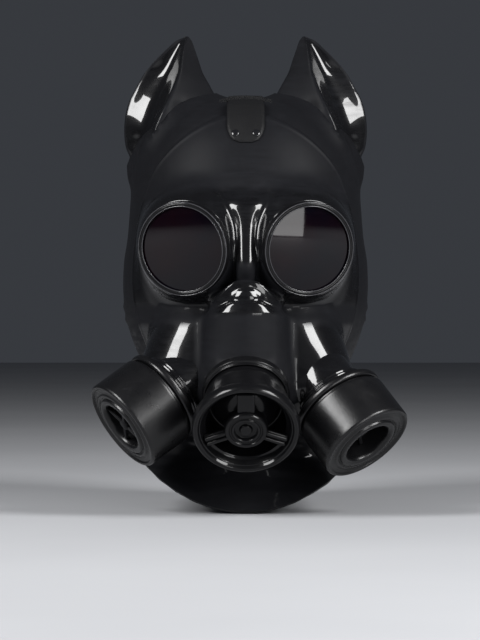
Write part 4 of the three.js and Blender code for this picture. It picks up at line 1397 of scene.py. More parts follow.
@dataclass
class Hood:
    """The hood over the head and neck, cut open behind the face piece."""

    bench: Bench
    sides: int = 208
    steps: int = 176
    opening_share: float = 0.84
    ear_swell: float = 4.6
    ear_swell_reach: float = 13.0

    def build(self, ears: Sequence[BVHTree]) -> bpy.types.Object:
        """Builds the hood, swollen where the ears leave it.

        Args:
            ears: The ears' surfaces, in millimetres.

        Returns:
            The piece.
        """
        form = self.bench.hood
        at = np.linspace(form.last / self.steps, form.last, self.steps)
        angle = np.arange(self.sides) * 2 * math.pi / self.sides
        grid_at, grid_angle = np.meshgrid(at, angle, indexing="ij")
        points = form.point(grid_angle, grid_at)
        normals = form.normal(grid_angle, grid_at)
        points = points + normals * self.relief(points, grid_angle, ears)[..., None]
        flat = np.concatenate([points.reshape(-1, 3), [[0.0, 0.0, CROWN]]])
        pole = len(flat) - 1
        faces = [[a, d, c, b] for a, b, c, d in grid_faces(self.steps, self.sides, True)]
        faces += [[pole, i, (i + 1) % self.sides] for i in range(self.sides)]
        flat, faces = self.opened(flat, faces)
        flat, faces = used_only(flat, faces)
        flat, faces = thickened(flat, faces, form.wall)
        # The satin share, a little lower down the neck, also sets how far the painted sheen lightens the
        # hood's colour.
        mesh = satin_zone(
            mesh_of("hood_skin", flat, faces), lambda p: 0.85 - 0.2 * smoothstep(-p[:, 2], 200.0, 225.0)
        )
        return self.bench.shop.piece("hood_skin", mesh, self.bench.material(Slot.HOOD), Slot.HOOD, ["hood"])

    def relief(self, points: Array, angle: Array, ears: Sequence[BVHTree]) -> Array:
        """How far the skin stands out from its plain form: swellings at the ears, neck folds, side tabs."""
        z = points[..., 2]
        out = np.zeros(z.shape)
        near = (z > -75) & (np.abs(points[..., 0]) > 8)
        for index in np.argwhere(near):
            i, j = index
            spot = Vector(points[i, j])
            for ear in ears:
                hit = ear.find_nearest(spot, self.ear_swell_reach)
                if hit[0] is not None:
                    share = 1.0 - hit[3] / self.ear_swell_reach
                    out[i, j] = max(out[i, j], self.ear_swell * share * share)
        neck = smoothstep(-z, 205.0, 232.0) * (1 - 0.6 * smoothstep(-z, 262.0, 281.0))
        waver = np.sin(angle * 3 + 0.6) * 2.2 + np.sin(angle * 7 + 1.1) * 0.8
        out += neck * 0.5 * np.sin((z + waver) * 0.42) * (0.6 + 0.4 * np.sin(angle * 2 + 0.4))
        out += neck * 0.25 * np.sin((z - waver * 1.7) * 0.95 + 1.0)
        across = np.abs(np.abs(angle - math.pi) - math.pi * 0.5)
        for height, rise in ((-143.5, 1.1), (-152.0, 1.2)):
            out += rise * np.exp(-(((z - height) / 3.0) ** 2) - (across * 84.0 / 9.0) ** 2)
        return out

    def opened(self, points: Array, faces: list) -> tuple[Array, list]:
        """Cuts the face opening, with its edge on the outline itself."""
        face = self.bench.face
        angle = np.arctan2(points[:, 0], -points[:, 1])
        u = angle / (self.opening_share * math.radians(face.half_angle))
        v = (points[:, 2] - face.middle) / (self.opening_share * face.half_height)
        size = np.hypot(u, v)
        inside = size < 1.0
        kept = [f for f in faces if not all(inside[k] for k in f)]
        used = np.zeros(len(points), bool)
        for f in kept:
            used[f] = True
        move = inside & used
        scale = 1.0 / np.maximum(size[move], 1e-6)
        new_angle = angle[move] * scale
        new_z = face.middle + (points[move, 2] - face.middle) * scale
        reach = self.bench.hood.radius(new_angle, new_z)
        points[move] = np.stack([reach * np.sin(new_angle), -reach * np.cos(new_angle), new_z], axis=-1)
        return points, kept


@dataclass
class FacePiece:
    """The moulded face piece, traced from the blended forms."""

    bench: Bench
    cells: int = 264
    eye_hole: float = 30.0

    def build(self) -> bpy.types.Object:
        """Builds the face piece's shell."""
        skin, form = self.bench.skin, self.bench.face
        line = np.linspace(-1.0, 1.0, self.cells + 1)
        v, u = np.meshgrid(line, line, indexing="ij")
        angle = math.radians(form.half_angle) * u * np.sqrt(1 - v * v / 2)
        z = form.middle + form.half_height * v * np.sqrt(1 - u * u / 2)
        reach = skin.reach(angle, z)
        reach = reach + self.creases(angle, z, reach)
        outer = np.stack([reach * np.sin(angle), -reach * np.cos(angle), z], axis=-1)
        slope_v = np.gradient(reach, axis=0) / np.maximum(np.abs(np.gradient(z, axis=0)), 1e-3)
        slope_u = np.gradient(reach, axis=1) / np.maximum(np.abs(np.gradient(angle, axis=1)) * reach, 1e-3)
        wall = form.wall * np.clip(np.sqrt(1 + slope_v**2 + slope_u**2), 1.0, 2.6)
        bed = form.hood.radius(angle, z) + form.seat_gap * 0.8
        inner_reach = np.minimum(np.maximum(reach - wall, bed), reach - 0.02)
        inner = np.stack([inner_reach * np.sin(angle), -inner_reach * np.cos(angle), z], axis=-1)
        half = inner[::2, ::2]
        rows, fine = half.shape[0], self.cells + 1
        points = np.concatenate([outer.reshape(-1, 3), half.reshape(-1, 3)])
        shift = fine * fine
        faces = grid_faces(fine, fine, False)
        faces += [[k + shift for k in reversed(f)] for f in grid_faces(rows, rows, False)]
        for fine_pair, coarse in self.border(fine, rows, shift):
            a, b, c = fine_pair
            faces.append([b, a, coarse[0]])
            faces.append([b, coarse[0], coarse[1]])
            faces.append([c, b, coarse[1]])
        mesh = mesh_of("face_skin", points, self.without_eyes(points, faces), tidy=False)
        satin_zone(mesh, self.satin)
        return self.bench.shop.piece(
            "face_skin", mesh, self.bench.material(Slot.FACE), Slot.FACE, ["face_piece"]
        )

    @staticmethod
    def satin(p: Array) -> Array:
        """The forehead above the brow and the muzzle's front panel are satin, the rest is polished."""
        forehead = smoothstep(p[:, 2] + 0.0016 * p[:, 0] ** 2, -68.0, -62.0)
        x, z = np.abs(p[:, 0]), p[:, 2]
        sides = smoothstep(-x, -36.0, -31.0) * smoothstep(-p[:, 1], 84.0, 92.0)
        panel = sides * smoothstep(-z, 147.0, 149.5)
        under_eye = smoothstep(x, 16.0, 22.0) * smoothstep(-z, 140.0, 144.0) * smoothstep(z, -158.0, -153.0)
        first_fold = -127.0 - 0.72 * np.maximum(x - 8.3, 0.0)
        bridge_foot = smoothstep(-x, -26.0, -21.0) * smoothstep(-z, 113.0, 117.0)
        bridge_foot = bridge_foot * smoothstep(z - first_fold, -1.2, 0.6)
        low_panel = panel * (1 - 0.5 * smoothstep(-z, 186.0, 196.0))
        return np.maximum(np.maximum(forehead, bridge_foot), np.maximum(0.9 * under_eye, low_panel))

    @staticmethod
    def border(fine: int, coarse: int, shift: int) -> list:
        """The border's corners, two fine steps to each coarse one, anticlockwise from the lower left."""
        steps = coarse - 1
        loops = []
        for turn in range(4):
            for k in range(steps):
                spots = []
                for m in (2 * k, 2 * k + 1, 2 * k + 2):
                    row, column = [(0, m), (m, fine - 1), (fine - 1, fine - 1 - m), (fine - 1 - m, 0)][turn]
                    spots.append(row * fine + column)
                ends = []
                for m in (k, k + 1):
                    row, column = [(0, m), (m, steps), (steps, steps - m), (steps - m, 0)][turn]
                    ends.append(shift + row * coarse + column)
                loops.append((spots, ends))
        return loops

    def creases(self, angle: Array, z: Array, reach: Array) -> Array:
        """Fine relief: the brow's crease, faint forehead creases, folds under the eyes and cheek ridges."""
        x = reach * np.sin(angle)
        out = np.zeros(z.shape)
        for height, half, depth, width in (
            (-67.0, 19.0, 0.5, 1.3),
            (-54.3, 16.0, 0.5, 1.1),
            (-44.5, 16.0, 0.35, 1.0),
            (-38.4, 14.0, 0.16, 0.9),
        ):
            bend = height - 0.004 * x * x
            fade = np.exp(-((x / half) ** 4))
            out -= depth * fade * np.exp(-(((z - bend) / width) ** 2))
        for frame in self.bench.skin.eyes:
            p = np.stack([x, -reach * np.cos(angle), z], axis=-1)
            q = into_frame(p, frame)
            ring = np.hypot(q[..., 0], q[..., 1])
            low = smoothstep(-q[..., 1], 8.0, 30.0)
            out += low * 0.25 * np.exp(-(((ring - 49.5) / 3.0) ** 2))
            out -= low * 0.2 * np.exp(-(((ring - 45.2) / 2.0) ** 2))
        return out

    def without_eyes(self, points: Array, faces: list) -> list:
        """The faces without those behind the lenses."""
        out = np.zeros(len(points), bool)
        for frame in self.bench.skin.eyes:
            q = into_frame(points, frame)
            out |= (np.hypot(q[:, 0], q[:, 1]) < self.eye_hole) & (q[:, 2] > -40)
        return [f for f in faces if not all(out[k] for k in f)]


@dataclass
class Goggles:
    """Both lenses with their rims and the seats behind them."""

    bench: Bench
    radius: float = 29.0
    thickness: float = 2.4
    dome: float = 2.2
    rim_width: float = 2.0
    rim_height: float = 4.6
    lip: float = 0.8

    def build(self) -> None:
        """Builds the lenses, their rims and seats."""
        for side, frame in zip(Side, self.bench.skin.eyes):
            self.lens(side, frame)
            self.rim(side, frame)

    def lens(self, side: Side, frame: Array) -> None:
        """A domed lens."""
        shares = np.linspace(1.0, 0.0, 14)
        dome = [(self.radius * s, 0.3 + self.thickness + self.dome * (1 - s * s)) for s in shares]
        profile = [(0.0, 0.3), (self.radius, 0.3), *dome]
        name = f"{side.word}_lens_dome"
        self.bench.round_piece(name, profile, frame, Slot.LENS, [f"{side.word}_lens"], soft=0.0)

    def rim(self, side: Side, frame: Array) -> None:
        """The rim round a lens, with a bead at each edge coloured lighter grey as a painted highlight line,
        and the rubber seat behind the lens.
        """
        outer, top = self.radius + self.rim_width, self.rim_height
        over = 0.6 + self.thickness + 0.2
        profile = [
            (self.radius + 0.3, -2.0),
            (outer + 0.7, -2.0),
            (outer + 0.5, 0.6),
            (outer - 0.1, 1.8),
            (outer, top - 1.6),
            (outer - 0.5, top - 0.4),
            (outer - 1.1, top),
            (self.radius - self.lip + 0.7, top - 0.1),
            (self.radius - self.lip, top - 0.8),
            (self.radius - self.lip - 0.1, over),
            (self.radius + 0.3, over),
        ]
        name = f"{side.word}_rim_ring"
        self.bench.round_piece(name, profile, frame, Slot.RIM, [f"{side.word}_lens_rim"], soft=0.45)
        # Two thin beads, coloured lighter than the rim as a painted highlight line at each edge.
        edges = ((self.radius - self.lip + 0.1, 0.34, top - 0.35), (outer - 0.15, 0.36, top - 0.55))
        for word, (ring, bead, height) in zip(("inner", "outer"), edges):
            self.bench.beads(
                f"{side.word}_{word}_bead", frame, Slot.RIM, ring, bead, height, finish="rim_bead_highlight"
            )
        seat = [(26.0, -6.0), (self.radius + 2.5, -6.0), (self.radius + 2.5, 0.0), (26.0, 0.0)]
        self.bench.round_piece(f"{side.word}_lens_seat", seat, frame, Slot.FACE, soft=0.5)


@dataclass
class FrontValve:
    """The valve at the mouth: beaded collar, flared body, cap with a hub and three spokes."""

    bench: Bench
    collar_radius: float = 27.7
    collar_length: float = 5.0
    root_radius: float = 26.2
    mouth_radius: float = 32.5
    length: float = 27.0
    cap_radius: float = 34.9
    cap_length: float = 8.5
    cap_rim: float = 4.2
    hub_radius: float = 14.0
    spokes: tuple = (90.0, 202.0, 338.0)

    def build(self) -> None:
        """Builds the valve."""
        frame = self.bench.skin.valve
        self.collar(frame)
        self.body(frame)
        self.cap(frame)

    def collar(self, frame: Array) -> None:
        """The collar, with a bead at each end."""
        r, length = self.collar_radius, self.collar_length
        profile = [
            (self.root_radius + 0.3, -3.0), (r + 1.0, -3.0), (r + 0.4, 0.4), (r + 1.3, 1.2),
            (r + 1.3, 2.3), (r - 0.2, 3.1), (r - 0.3, 4.0), (r - 0.5, length),
            (self.root_radius + 0.3, length),
        ]
        self.bench.round_piece("valve_collar_ring", profile, frame, Slot.VALVE, ["valve_collar"], soft=0.5)
        self.bench.beads("valve_collar_beads", frame, Slot.VALVE, r - 0.4, 0.75, 4.6)

    def body(self, frame: Array) -> None:
        """The flared body with an open chamber."""
        top = self.collar_length + self.length
        profile = [
            (0.0, 0.3), (self.root_radius, 0.3), (self.root_radius, 7.0),
            (self.root_radius + 1.6, 11.0), (self.mouth_radius - 2.2, top - 9.0),
            ( self.mouth_radius - 0.8, top - 4.0 ), (self.mouth_radius, top),
            (self.mouth_radius - 3.0, top), (self.mouth_radius - 4.5, top - 10.0),
            (self.root_radius - 2.0, top - 21.0), (0.0, top - 21.0),
        ]
        self.bench.round_piece("valve_throat", profile, frame, Slot.VALVE, ["valve_body"], soft=1.2)

    def cap(self, frame: Array) -> None:
        """The cap's rim, hub and spokes."""
        bottom = self.collar_length + self.length + 0.3
        top = bottom + self.cap_length
        inner = self.cap_radius - self.cap_rim
        rim = [
            (inner - 4.6, bottom), (self.cap_radius - 0.8, bottom), (self.cap_radius, bottom + 1.4),
            (self.cap_radius, top - 2.6), (self.cap_radius - 1.0, top - 0.5),
            (self.cap_radius - 2.3, top), (inner + 0.6, top - 0.5), (inner - 0.5, top - 2.5),
            (inner - 1.0, top - 2.7), (inner - 2.9, top - 6.2), (inner - 4.6, top - 7.4),
        ]
        ring = turned(rim, soft=1.3)
        hub = turned(
            [
                (0.0, bottom), (self.hub_radius - 0.5, bottom), (self.hub_radius, bottom + 1.0),
                (self.hub_radius, top - 1.8), (self.hub_radius - 0.9, top), (self.hub_radius - 2.8, top),
                (self.hub_radius - 3.4, top - 1.2), (9.6, top - 1.2), (9.0, top - 0.2), (7.8, top - 0.2),
                (7.2, top - 3.0), (4.2, top - 3.0), (3.6, top - 1.0), (2.6, top - 0.8), (0.0, top - 0.9),
            ],
            soft=0.5,
        )
        offset = len(ring[0])
        points = np.concatenate([ring[0], hub[0]])
        faces = ring[1] + [[k + offset for k in f] for f in hub[1]]
        mesh = mesh_of("valve_grating", out_of_frame(points, frame), faces)
        self.bench.shop.piece(
            "valve_grating", mesh, self.bench.material(Slot.VALVE), Slot.VALVE, ["valve_cap"]
        )
        self.arms(frame, inner, top)

    def arms(self, frame: Array, inner: float, top: float) -> None:
        """The spokes: a broad one at the top, and one with two ribs on each side."""
        sides = self.spokes[1:]
        # Each group: angles, sideways shifts, width, height and how far its top lies under the cap's.
        groups = {
            "valve_top_spoke": (self.spokes[:1], (0.0,), 11.5, 4.6, 1.9),
            "valve_side_spokes": (sides, (0.0,), 8.0, 3.4, 3.1),
            "valve_spoke_ribs": (sides, (-2.0, 2.0), 2.8, 3.0, 1.5),
        }
        for name, (angles, shifts, width, height, under) in groups.items():
            place = frame.copy()
            place[:3, 3] = out_of_frame(np.array([0.0, 0.0, top - under - height / 2]), frame)
            turns = [math.radians(a) for a in angles for _ in shifts]
            beside = [b * MM for _ in angles for b in shifts]
            spots = [(-b * math.sin(t), b * math.cos(t), 0.0) for t, b in zip(turns, beside)]
            values = {
                "Size": ((inner - self.hub_radius - 1.5) * MM, width * MM, height * MM),
                "Inner": (self.hub_radius - 1.0) * MM,
                "Material": self.bench.material(Slot.VALVE),
                "turns": turns,
            }
            mesh = self.bench.shop.grown(name, (np.array(spots), []), self.bench.trees.arms, values, place)
            item = self.bench.shop.piece(name, mesh, self.bench.material(Slot.VALVE), Slot.VALVE)
            bevel = item.modifiers.new("soft edges", "BEVEL")
            bevel.width, bevel.segments, bevel.limit_method = min(1.3, width * 0.46) * MM, 4, "ANGLE"


@dataclass
class SideFilter:
    """A filter on its rubber port: ring, lid, drum with a groove, inlet ring and cross bars."""

    bench: Bench
    place: FilterPlace
    frame: Array
    grille_depth: float
    radius: float = 32.0
    lid: float = 5.6
    groove: float = 1.8
    groove_depth: float = 2.2
    drum: float = 30.0
    inlet: float = 16.0
    inlet_depth: float = 13.0

    def build(self) -> None:
        """Builds the port's neck, ring, lid, drum and grille."""
        side = self.place.side.word
        self.port(side)
        self.canister(side)
        self.grille(side)

    def port(self, side: str) -> None:
        """The rubber neck and the ribbed ring on it."""
        r = self.bench.face.port_radius
        neck = [(18.0, -22.0), (r + 0.6, -22.0), (r + 0.2, -9.0), (r, -6.0), (r, 0.0), (18.0, 0.0)]
        self.bench.round_piece(f"{side}_port_neck", neck, self.frame, Slot.FACE, soft=0.4)
        ring = [
            (r + 0.2, -6.0),
            (24.4, -6.0),
            (25.2, -5.2),
            (24.6, -4.2),
            (25.2, -3.2),
            (24.6, -2.2),
            (25.2, -1.2),
            (24.6, -0.2),
            (r + 0.2, -0.2),
        ]
        self.bench.round_piece(
            f"{side}_ribbed_ring", ring, self.frame, Slot.RING, [f"{side}_port_ring"], soft=0.35
        )

    def canister(self, side: str) -> None:
        """The lid and the drum."""
        r = self.radius
        lid = [
            (0.0, -9.0),
            (17.7, -9.0),
            (17.7, 0.3),
            (r - 2.6, 0.3),
            (r - 0.8, 1.0),
            (r, 2.4),
            (r, 4.6),
            (r - 0.9, self.lid + 0.3),
            (0.0, self.lid + 0.3),
        ]
        self.bench.round_piece(
            f"{side}_canister_lid", lid, self.frame, Slot.FILTER, [f"{side}_filter_lid"], soft=0.7
        )
        low = self.lid + 0.6
        top = low + self.groove + self.drum
        drum = [
            (0.0, low), (r - self.groove_depth, low), ( r - self.groove_depth, low + self.groove ),
            (r - 0.2, low + self.groove + 0.5), ( r, low + self.groove + 2.0 ), (r, top - 3.0),
            (r, top), (r - 0.9, top + 1.4), (r - 2.4, top + 1.4), (r - 3.2, top + 0.1),
            (r - 5.4, top - 0.1), (25.2, top + 0.3), (24.2, top + 1.2), (22.8, top + 1.2),
            (22.0, top + 0.3), (21.4, top + 0.3), (20.7, top + 2.0), (19.4, top + 2.3),
            (17.6, top + 2.1), (16.4, top + 1.0), ( self.inlet, top - 0.6 ),
            (self.inlet - 0.2, top - self.inlet_depth), (0.0, top - self.inlet_depth),
        ]
        self.bench.round_piece(
            f"{side}_canister_drum", drum, self.frame, Slot.FILTER, [f"{side}_filter_drum"], soft=0.6
        )

    def grille(self, side: str) -> None:
        """Cross bars in the inlet."""
        top = self.lid + 0.6 + self.groove + self.drum - self.grille_depth
        thick = 1.8
        place = self.frame.copy()
        place[:3, 3] = out_of_frame(np.array([0.0, 0.0, top - thick / 2]), self.frame)
        values = {
            "Size": ((self.inlet - 0.3) * MM, 2.4 * MM, thick * MM),
            "Inner": 0.0,
            "Material": self.bench.material(Slot.GRILLE),
            "turns": [math.radians(45 + 90 * k) for k in range(4)],
        }
        mesh = self.bench.shop.grown(
            f"{side}_cross_bars", (np.zeros((4, 3)), []), self.bench.trees.arms, values, place
        )
        item = self.bench.shop.piece(
            f"{side}_cross_bars", mesh, self.bench.material(Slot.GRILLE), Slot.GRILLE, [
                f"{side}_inlet_grille"
            ]
        )
        bevel = item.modifiers.new("soft edges", "BEVEL")
        bevel.width, bevel.segments = 0.4 * MM, 2
        hub = [
            (0.0, top - thick - 0.1),
            (4.0, top - thick - 0.1),
            (4.0, top + 0.2),
            (2.0, top + 0.9),
            (0.0, top + 1.0),
        ]
        self.bench.round_piece(f"{side}_grille_hub", hub, self.frame, Slot.GRILLE, soft=0.5)


@dataclass
class Ears:
    """The two pointed ears, each with an inner front panel, a ridge and a bowl."""

    bench: Bench
    tip: float = 42.3
    foot: float = 54.7
    inner: float = 17.0
    reach: float = 85.5
    depth: float = 50.0
    rings: int = 110
    around: int = 132
    # Each row: height from foot to tip, then across and deep values of the inner edge, ridge, outer edge
    # and back.
    rows: tuple = (
        (0.0, 0.6, -0.35, 0.78, -0.55, 0.87, -0.32, 0.72, 0.0),
        (0.12, 0.25, -0.5, 0.73, -0.78, 0.93, -0.27, 0.6, 0.2),
        (0.21, 0.05, -0.58, 0.695, -0.9, 0.99, -0.255, 0.55, 0.3),
        (0.33, -0.05, -0.56, 0.655, -0.92, 1.01, -0.262, 0.52, 0.34),
        (0.45, -0.04, -0.5, 0.58, -0.88, 0.995, -0.28, 0.5, 0.34),
        (0.557, 0.02, -0.38, 0.51, -0.78, 0.95, -0.262, 0.48, 0.3),
        (0.66, 0.1, -0.27, 0.45, -0.65, 0.87, -0.228, 0.46, 0.25),
        (0.75, 0.175, -0.2, 0.41, -0.54, 0.79, -0.205, 0.44, 0.19),
        (0.845, 0.225, -0.18, 0.39, -0.44, 0.665, -0.245, 0.42, 0.1),
        (0.92, 0.265, -0.19, 0.375, -0.36, 0.55, -0.26, 0.4, 0.0),
        (0.975, 0.295, -0.19, 0.36, -0.29, 0.46, -0.25, 0.37, -0.09),
        (1.0, 0.32, -0.2, 0.35, -0.24, 0.39, -0.18, 0.355, -0.14),
    )
    bow: float = 0.2
    # Round hollows, each by its place across and up, its radius and its depth: on the panel and low in
    # the bowl.
    hollows: tuple = ((44.5, -6.6, 5.0, 2.2), (73.0, -29.0, 7.0, 1.6))

    def row(self, height: float) -> Array:
        """The section at a height, smooth between the rows."""
        table = np.asarray(self.rows)
        heights = table[:, 0]
        i = int(np.clip(np.searchsorted(heights, height) - 1, 0, len(heights) - 2))
        h = heights[i + 1] - heights[i]
        t = (height - heights[i]) / h
        before, after = max(i - 1, 0), min(i + 2, len(heights) - 1)
        m0 = (table[i + 1] - table[before]) / (heights[i + 1] - heights[before]) * h
        m1 = (table[after] - table[i]) / (heights[after] - heights[i]) * h
        t2, t3 = t * t, t * t * t
        return (
            2 * t3 - 3 * t2 + 1
        ) * table[i] + (t3 - 2 * t2 + t) * m0 + (3 * t2 - 2 * t3) * table[i + 1] + (t3 - t2) * m1

    @staticmethod
    def arc(points: Array, count: int) -> Array:
        """Evenly spaced points on a smooth curve through three points, without its last."""
        a, b, c = points
        la, lc = np.linalg.norm(b - a) ** 0.5, np.linalg.norm(c - b) ** 0.5
        first, last = 2 * a - b, 2 * c - b
        chain = np.array([first, a, b, c, last])
        knots = np.cumsum([0.0, la, la, lc, lc])
        dense = []
        for k in (1, 2):
            for t in np.linspace(knots[k], knots[k + 1], 24, endpoint=k == 2):
                p, q = chain[k - 1 : k + 3], knots[k - 1 : k + 3]
                a1 = (q[1] - t) / (q[1] - q[0]) * p[0] + (t - q[0]) / (q[1] - q[0]) * p[1]
                a2 = (q[2] - t) / (q[2] - q[1]) * p[1] + (t - q[1]) / (q[2] - q[1]) * p[2]
                a3 = (q[3] - t) / (q[3] - q[2]) * p[2] + (t - q[2]) / (q[3] - q[2]) * p[3]
                b1 = (q[2] - t) / (q[2] - q[0]) * a1 + (t - q[0]) / (q[2] - q[0]) * a2
                b2 = (q[3] - t) / (q[3] - q[1]) * a2 + (t - q[1]) / (q[3] - q[1]) * a3
                dense.append((q[2] - t) / (q[2] - q[1]) * b1 + (t - q[1]) / (q[2] - q[1]) * b2)
        dense = np.asarray(dense)
        length = np.concatenate([[0.0], np.cumsum(np.linalg.norm(np.diff(dense, axis=0), axis=1))])
        at = np.linspace(0.0, length[-1], count, endpoint=False)
        return np.stack([np.interp(at, length, dense[:, k]) for k in range(2)], axis=-1)

    def ring(self, height: float) -> Array:
        """The right ear's section at a height, with its ridge and edges rounded."""
        row = self.row(height)
        across = self.inner + (self.reach - self.inner) * row[1::2]
        spots = np.stack([across, self.depth * row[2::2]], axis=-1)
        inner, ridge, outer, back = spots
        chord = outer - ridge
        bowl = (ridge + outer) / 2 + self.bow * np.array([-chord[1], chord[0]])
        n = self.around
        counts = (round(n * 0.26), round(n * 0.34), n - round(n * 0.26) - round(n * 0.34))
        panel = inner + (ridge - inner) * np.linspace(0.0, 1.0, counts[0], endpoint=False)[:, None]
        section = np.concatenate(
            [
                panel,
                self.arc(np.array([ridge, bowl, outer]), counts[1]),
                self.arc(np.array([outer, back, inner]), counts[2]),
            ]
        )
        size = float(np.ptp(section, axis=0).max())
        for _ in range(int(np.clip(size / 6.0, 2, 9))):
            section = 0.5 * section + 0.25 * (np.roll(section, 1, axis=0) + np.roll(section, -1, axis=0))
        z = CROWN - self.foot + (self.foot + self.tip) * height
        return np.column_stack([section, np.full(len(section), z)])

    def form(self) -> tuple[Array, list]:
        """The right ear's points and faces."""
        heights = 1.0 - (1.0 - np.linspace(0.0, 1.0, self.rings)) ** 1.25
        rings = np.stack([self.ring(h) for h in heights])
        front = rings[..., 1] < -2.0
        for x, z, radius, depth in self.hollows:
            away = np.hypot(rings[..., 0] - x, rings[..., 2] - z) / radius
            rings[..., 1] += front * depth * np.exp(-(away**2))
        tip = rings[-1].mean(axis=0)
        top = [tip + (rings[-1] - tip) * s + np.array([0.0, 0.0, r]) for s, r in ((0.8, 0.5), (0.45, 0.9))]
        return loft(np.concatenate([rings, np.stack(top)]))

    def satin(self, p: Array) -> Array:
        """The front panel inside the ridge, the outer edge and the lobe are satin, the bowl is polished."""
        height = np.clip((p[:, 2] - CROWN + self.foot) / (self.foot + self.tip), 0.0, 1.0)
        table = np.asarray(self.rows)
        span = self.reach - self.inner
        ridge, edge = (self.inner + span * np.interp(height, table[:, 0], table[:, k]) for k in (3, 5))
        panel = smoothstep(ridge - np.abs(p[:, 0]), -1.0, 1.5)
        rim = smoothstep(np.abs(p[:, 0]) - edge, -3.4, -2.2)
        return np.maximum(np.maximum(panel, rim), smoothstep(-height, -0.14, -0.06))

    def trees(self) -> list[BVHTree]:
        """Both ears' surfaces, for the hood's swellings."""
        points, faces = self.form()
        return [BVHTree.FromPolygons((points * np.array([s, 1.0, 1.0])).tolist(), faces) for s in (-1, 1)]

    def build(self) -> None:
        """Builds both ears, with what would lie inside the hood laid in its wall."""
        points, faces = self.form()
        hood = self.bench.hood
        at = np.linspace(0.2, hood.last, 90)
        angle = np.arange(120) * math.pi / 60
        grid_at, grid_angle = np.meshgrid(at, angle, indexing="ij")
        skin = BVHTree.FromPolygons(
            hood.point(grid_angle, grid_at).reshape(-1, 3).tolist(),
            [[a, d, c, b] for a, b, c, d in grid_faces(90, 120, True)],
        )
        for i, spot in enumerate(points):
            near, normal, _, _ = skin.find_nearest(Vector(spot))
            if (Vector(spot) - near).dot(normal) < -0.9:
                points[i] = near - normal * 0.9
        for side in Side:
            mirrored = points * np.array([side.value, 1.0, 1.0])
            name = f"{side.word}_ear_form"
            mesh = satin_zone(mesh_of(name, mirrored, faces, sharp=60.0), self.satin)
            self.bench.shop.piece(name, mesh, self.bench.material(Slot.EAR), Slot.EAR, [f"{side.word}_ear"])


@dataclass
class CrownStrap:
    """The strap over the crown, with its studs and its rough patch."""

    bench: Bench
    half_width: float = 12.2
    thickness: float = 0.9
    front: float = 37.0
    back: float = 34.0
    corner: float = 8.0
    stud_spread: float = 6.8
    stud_drop: float = 31.5

    def surface(self, x: Array, y: Array, height: Array | float) -> Array:
        """Points above the hood, clear of the face piece's edge."""
        point, normal = self.bench.hood.top(x, y)
        depth = CROWN - point[..., 2]
        over = np.where(y < 0, smoothstep(depth, 6.7, 11.7), 0.0)
        lift = 0.3 + over * (self.bench.face.seat_gap + self.bench.face.wall) + height
        return point + normal * np.broadcast_to(lift, point.shape[:-1])[..., None]

    def build(self) -> None:
        """Builds the strap, its studs and its rough patch."""
        front = -self.bench.hood.front_at(0.0, CROWN - self.front)
        stations = np.linspace(front, self.back, 110)
        across = np.linspace(-1.0, 1.0, 23)
        rings = []
        for y in stations:
            near = min(y - front, self.back - y)
            cut = max(self.corner - near, 0.0)
            half = self.half_width - self.corner + math.sqrt(max(self.corner**2 - cut**2, 0.0))
            x = half * across
            edge = np.sqrt(np.clip(1.0 - ((np.abs(across) - 0.9) / 0.1).clip(0) ** 2, 0.0, 1.0))
            end = math.sqrt(1.0 - (1.0 - min(near / 1.2, 1.0)) ** 2)
            top = self.surface(x, np.full(x.shape, y), self.thickness * edge * (0.25 + 0.75 * end))
            under = self.surface(x, np.full(x.shape, y), 0.0)
            rings.append(np.concatenate([top, under[::-1][1:-1]]))
        points, faces = loft(np.stack(rings))
        mesh = satin_zone(mesh_of("crown_strap_band", points, faces, sharp=50.0), lambda p: np.ones(len(p)))
        self.bench.shop.piece(
            "crown_strap_band", mesh, self.bench.material(Slot.STRAP), Slot.STRAP, ["crown_strap"]
        )
        self.patch()
        self.studs()

    def patch(self) -> None:
        """The rough patch over the crown, across the strap and the hood beside it."""
        x, y = np.meshgrid(np.linspace(-19.0, 19.0, 39), np.linspace(-52.0, 20.0, 60))
        on_strap = smoothstep(-np.abs(x), -self.half_width - 0.4, -self.half_width + 1.0)
        points, normals = self.bench.hood.top(x, y)
        lift = -0.05 + on_strap * (self.thickness + 0.3)
        points = (points + normals * lift[..., None]).reshape(-1, 3) * MM
        depth = CROWN - self.bench.hood.top(x, y)[0][..., 2]
        angle = np.arctan2(x, -y)
        face = self.bench.face
        edge = np.hypot(
            angle / math.radians(face.half_angle), (CROWN - depth - face.middle) / face.half_height
        )
        ragged = np.maximum(
            np.abs(x) / 18.5 + 0.06 * np.sin(y * 1.3), np.where(y < 0, 1.02 - edge, 0.0) * 60.0
        )
        kept = [f for f in grid_faces(60, 39, False) if max(ragged.ravel()[f]) < 1.0]
        values = {
            "Density": 0.9e6,
            "Radius": 0.55 * MM,
            "Seed": 7,
            "Material": self.bench.material(Slot.STRAP),
        }
        mesh = self.bench.shop.grown(
            "crown_rough_patch", (points, kept), self.bench.trees.pimples, values, np.eye(4)
        )
        self.bench.shop.piece("crown_rough_patch", mesh, self.bench.material(Slot.STRAP), Slot.STRAP)

    def studs(self) -> None:
        """The two small studs near the strap's front end."""
        for side in Side:
            x = side.value * self.stud_spread
            y = -self.bench.hood.front_at(x, CROWN - self.stud_drop)
            _, normal = self.bench.hood.top(np.array(x), np.array(y))
            across = np.array([1.0, 0.0, 0.0]) - normal * normal[0]
            across /= np.linalg.norm(across)
            frame = np.eye(4)
            frame[:3, 0], frame[:3, 1], frame[:3, 2] = across, np.cross(normal, across), normal
            frame[:3, 3] = self.surface(np.array(x), np.array(y), self.thickness + 0.3)
            arc = [
                (2.8 * math.cos(t), 1.1 * math.sin(t) - 0.3) for t in np.linspace(0.0, math.pi / 2, 9)[:-1]
            ]
            profile = [(0.0, -0.8), (2.8, -0.8), *arc, (0.0, 0.8)]
            name = f"{side.word}_stud_dome"
            self.bench.round_piece(name, profile, frame, Slot.STUD, [f"{side.word}_strap_stud"], soft=0.0)


# Studio


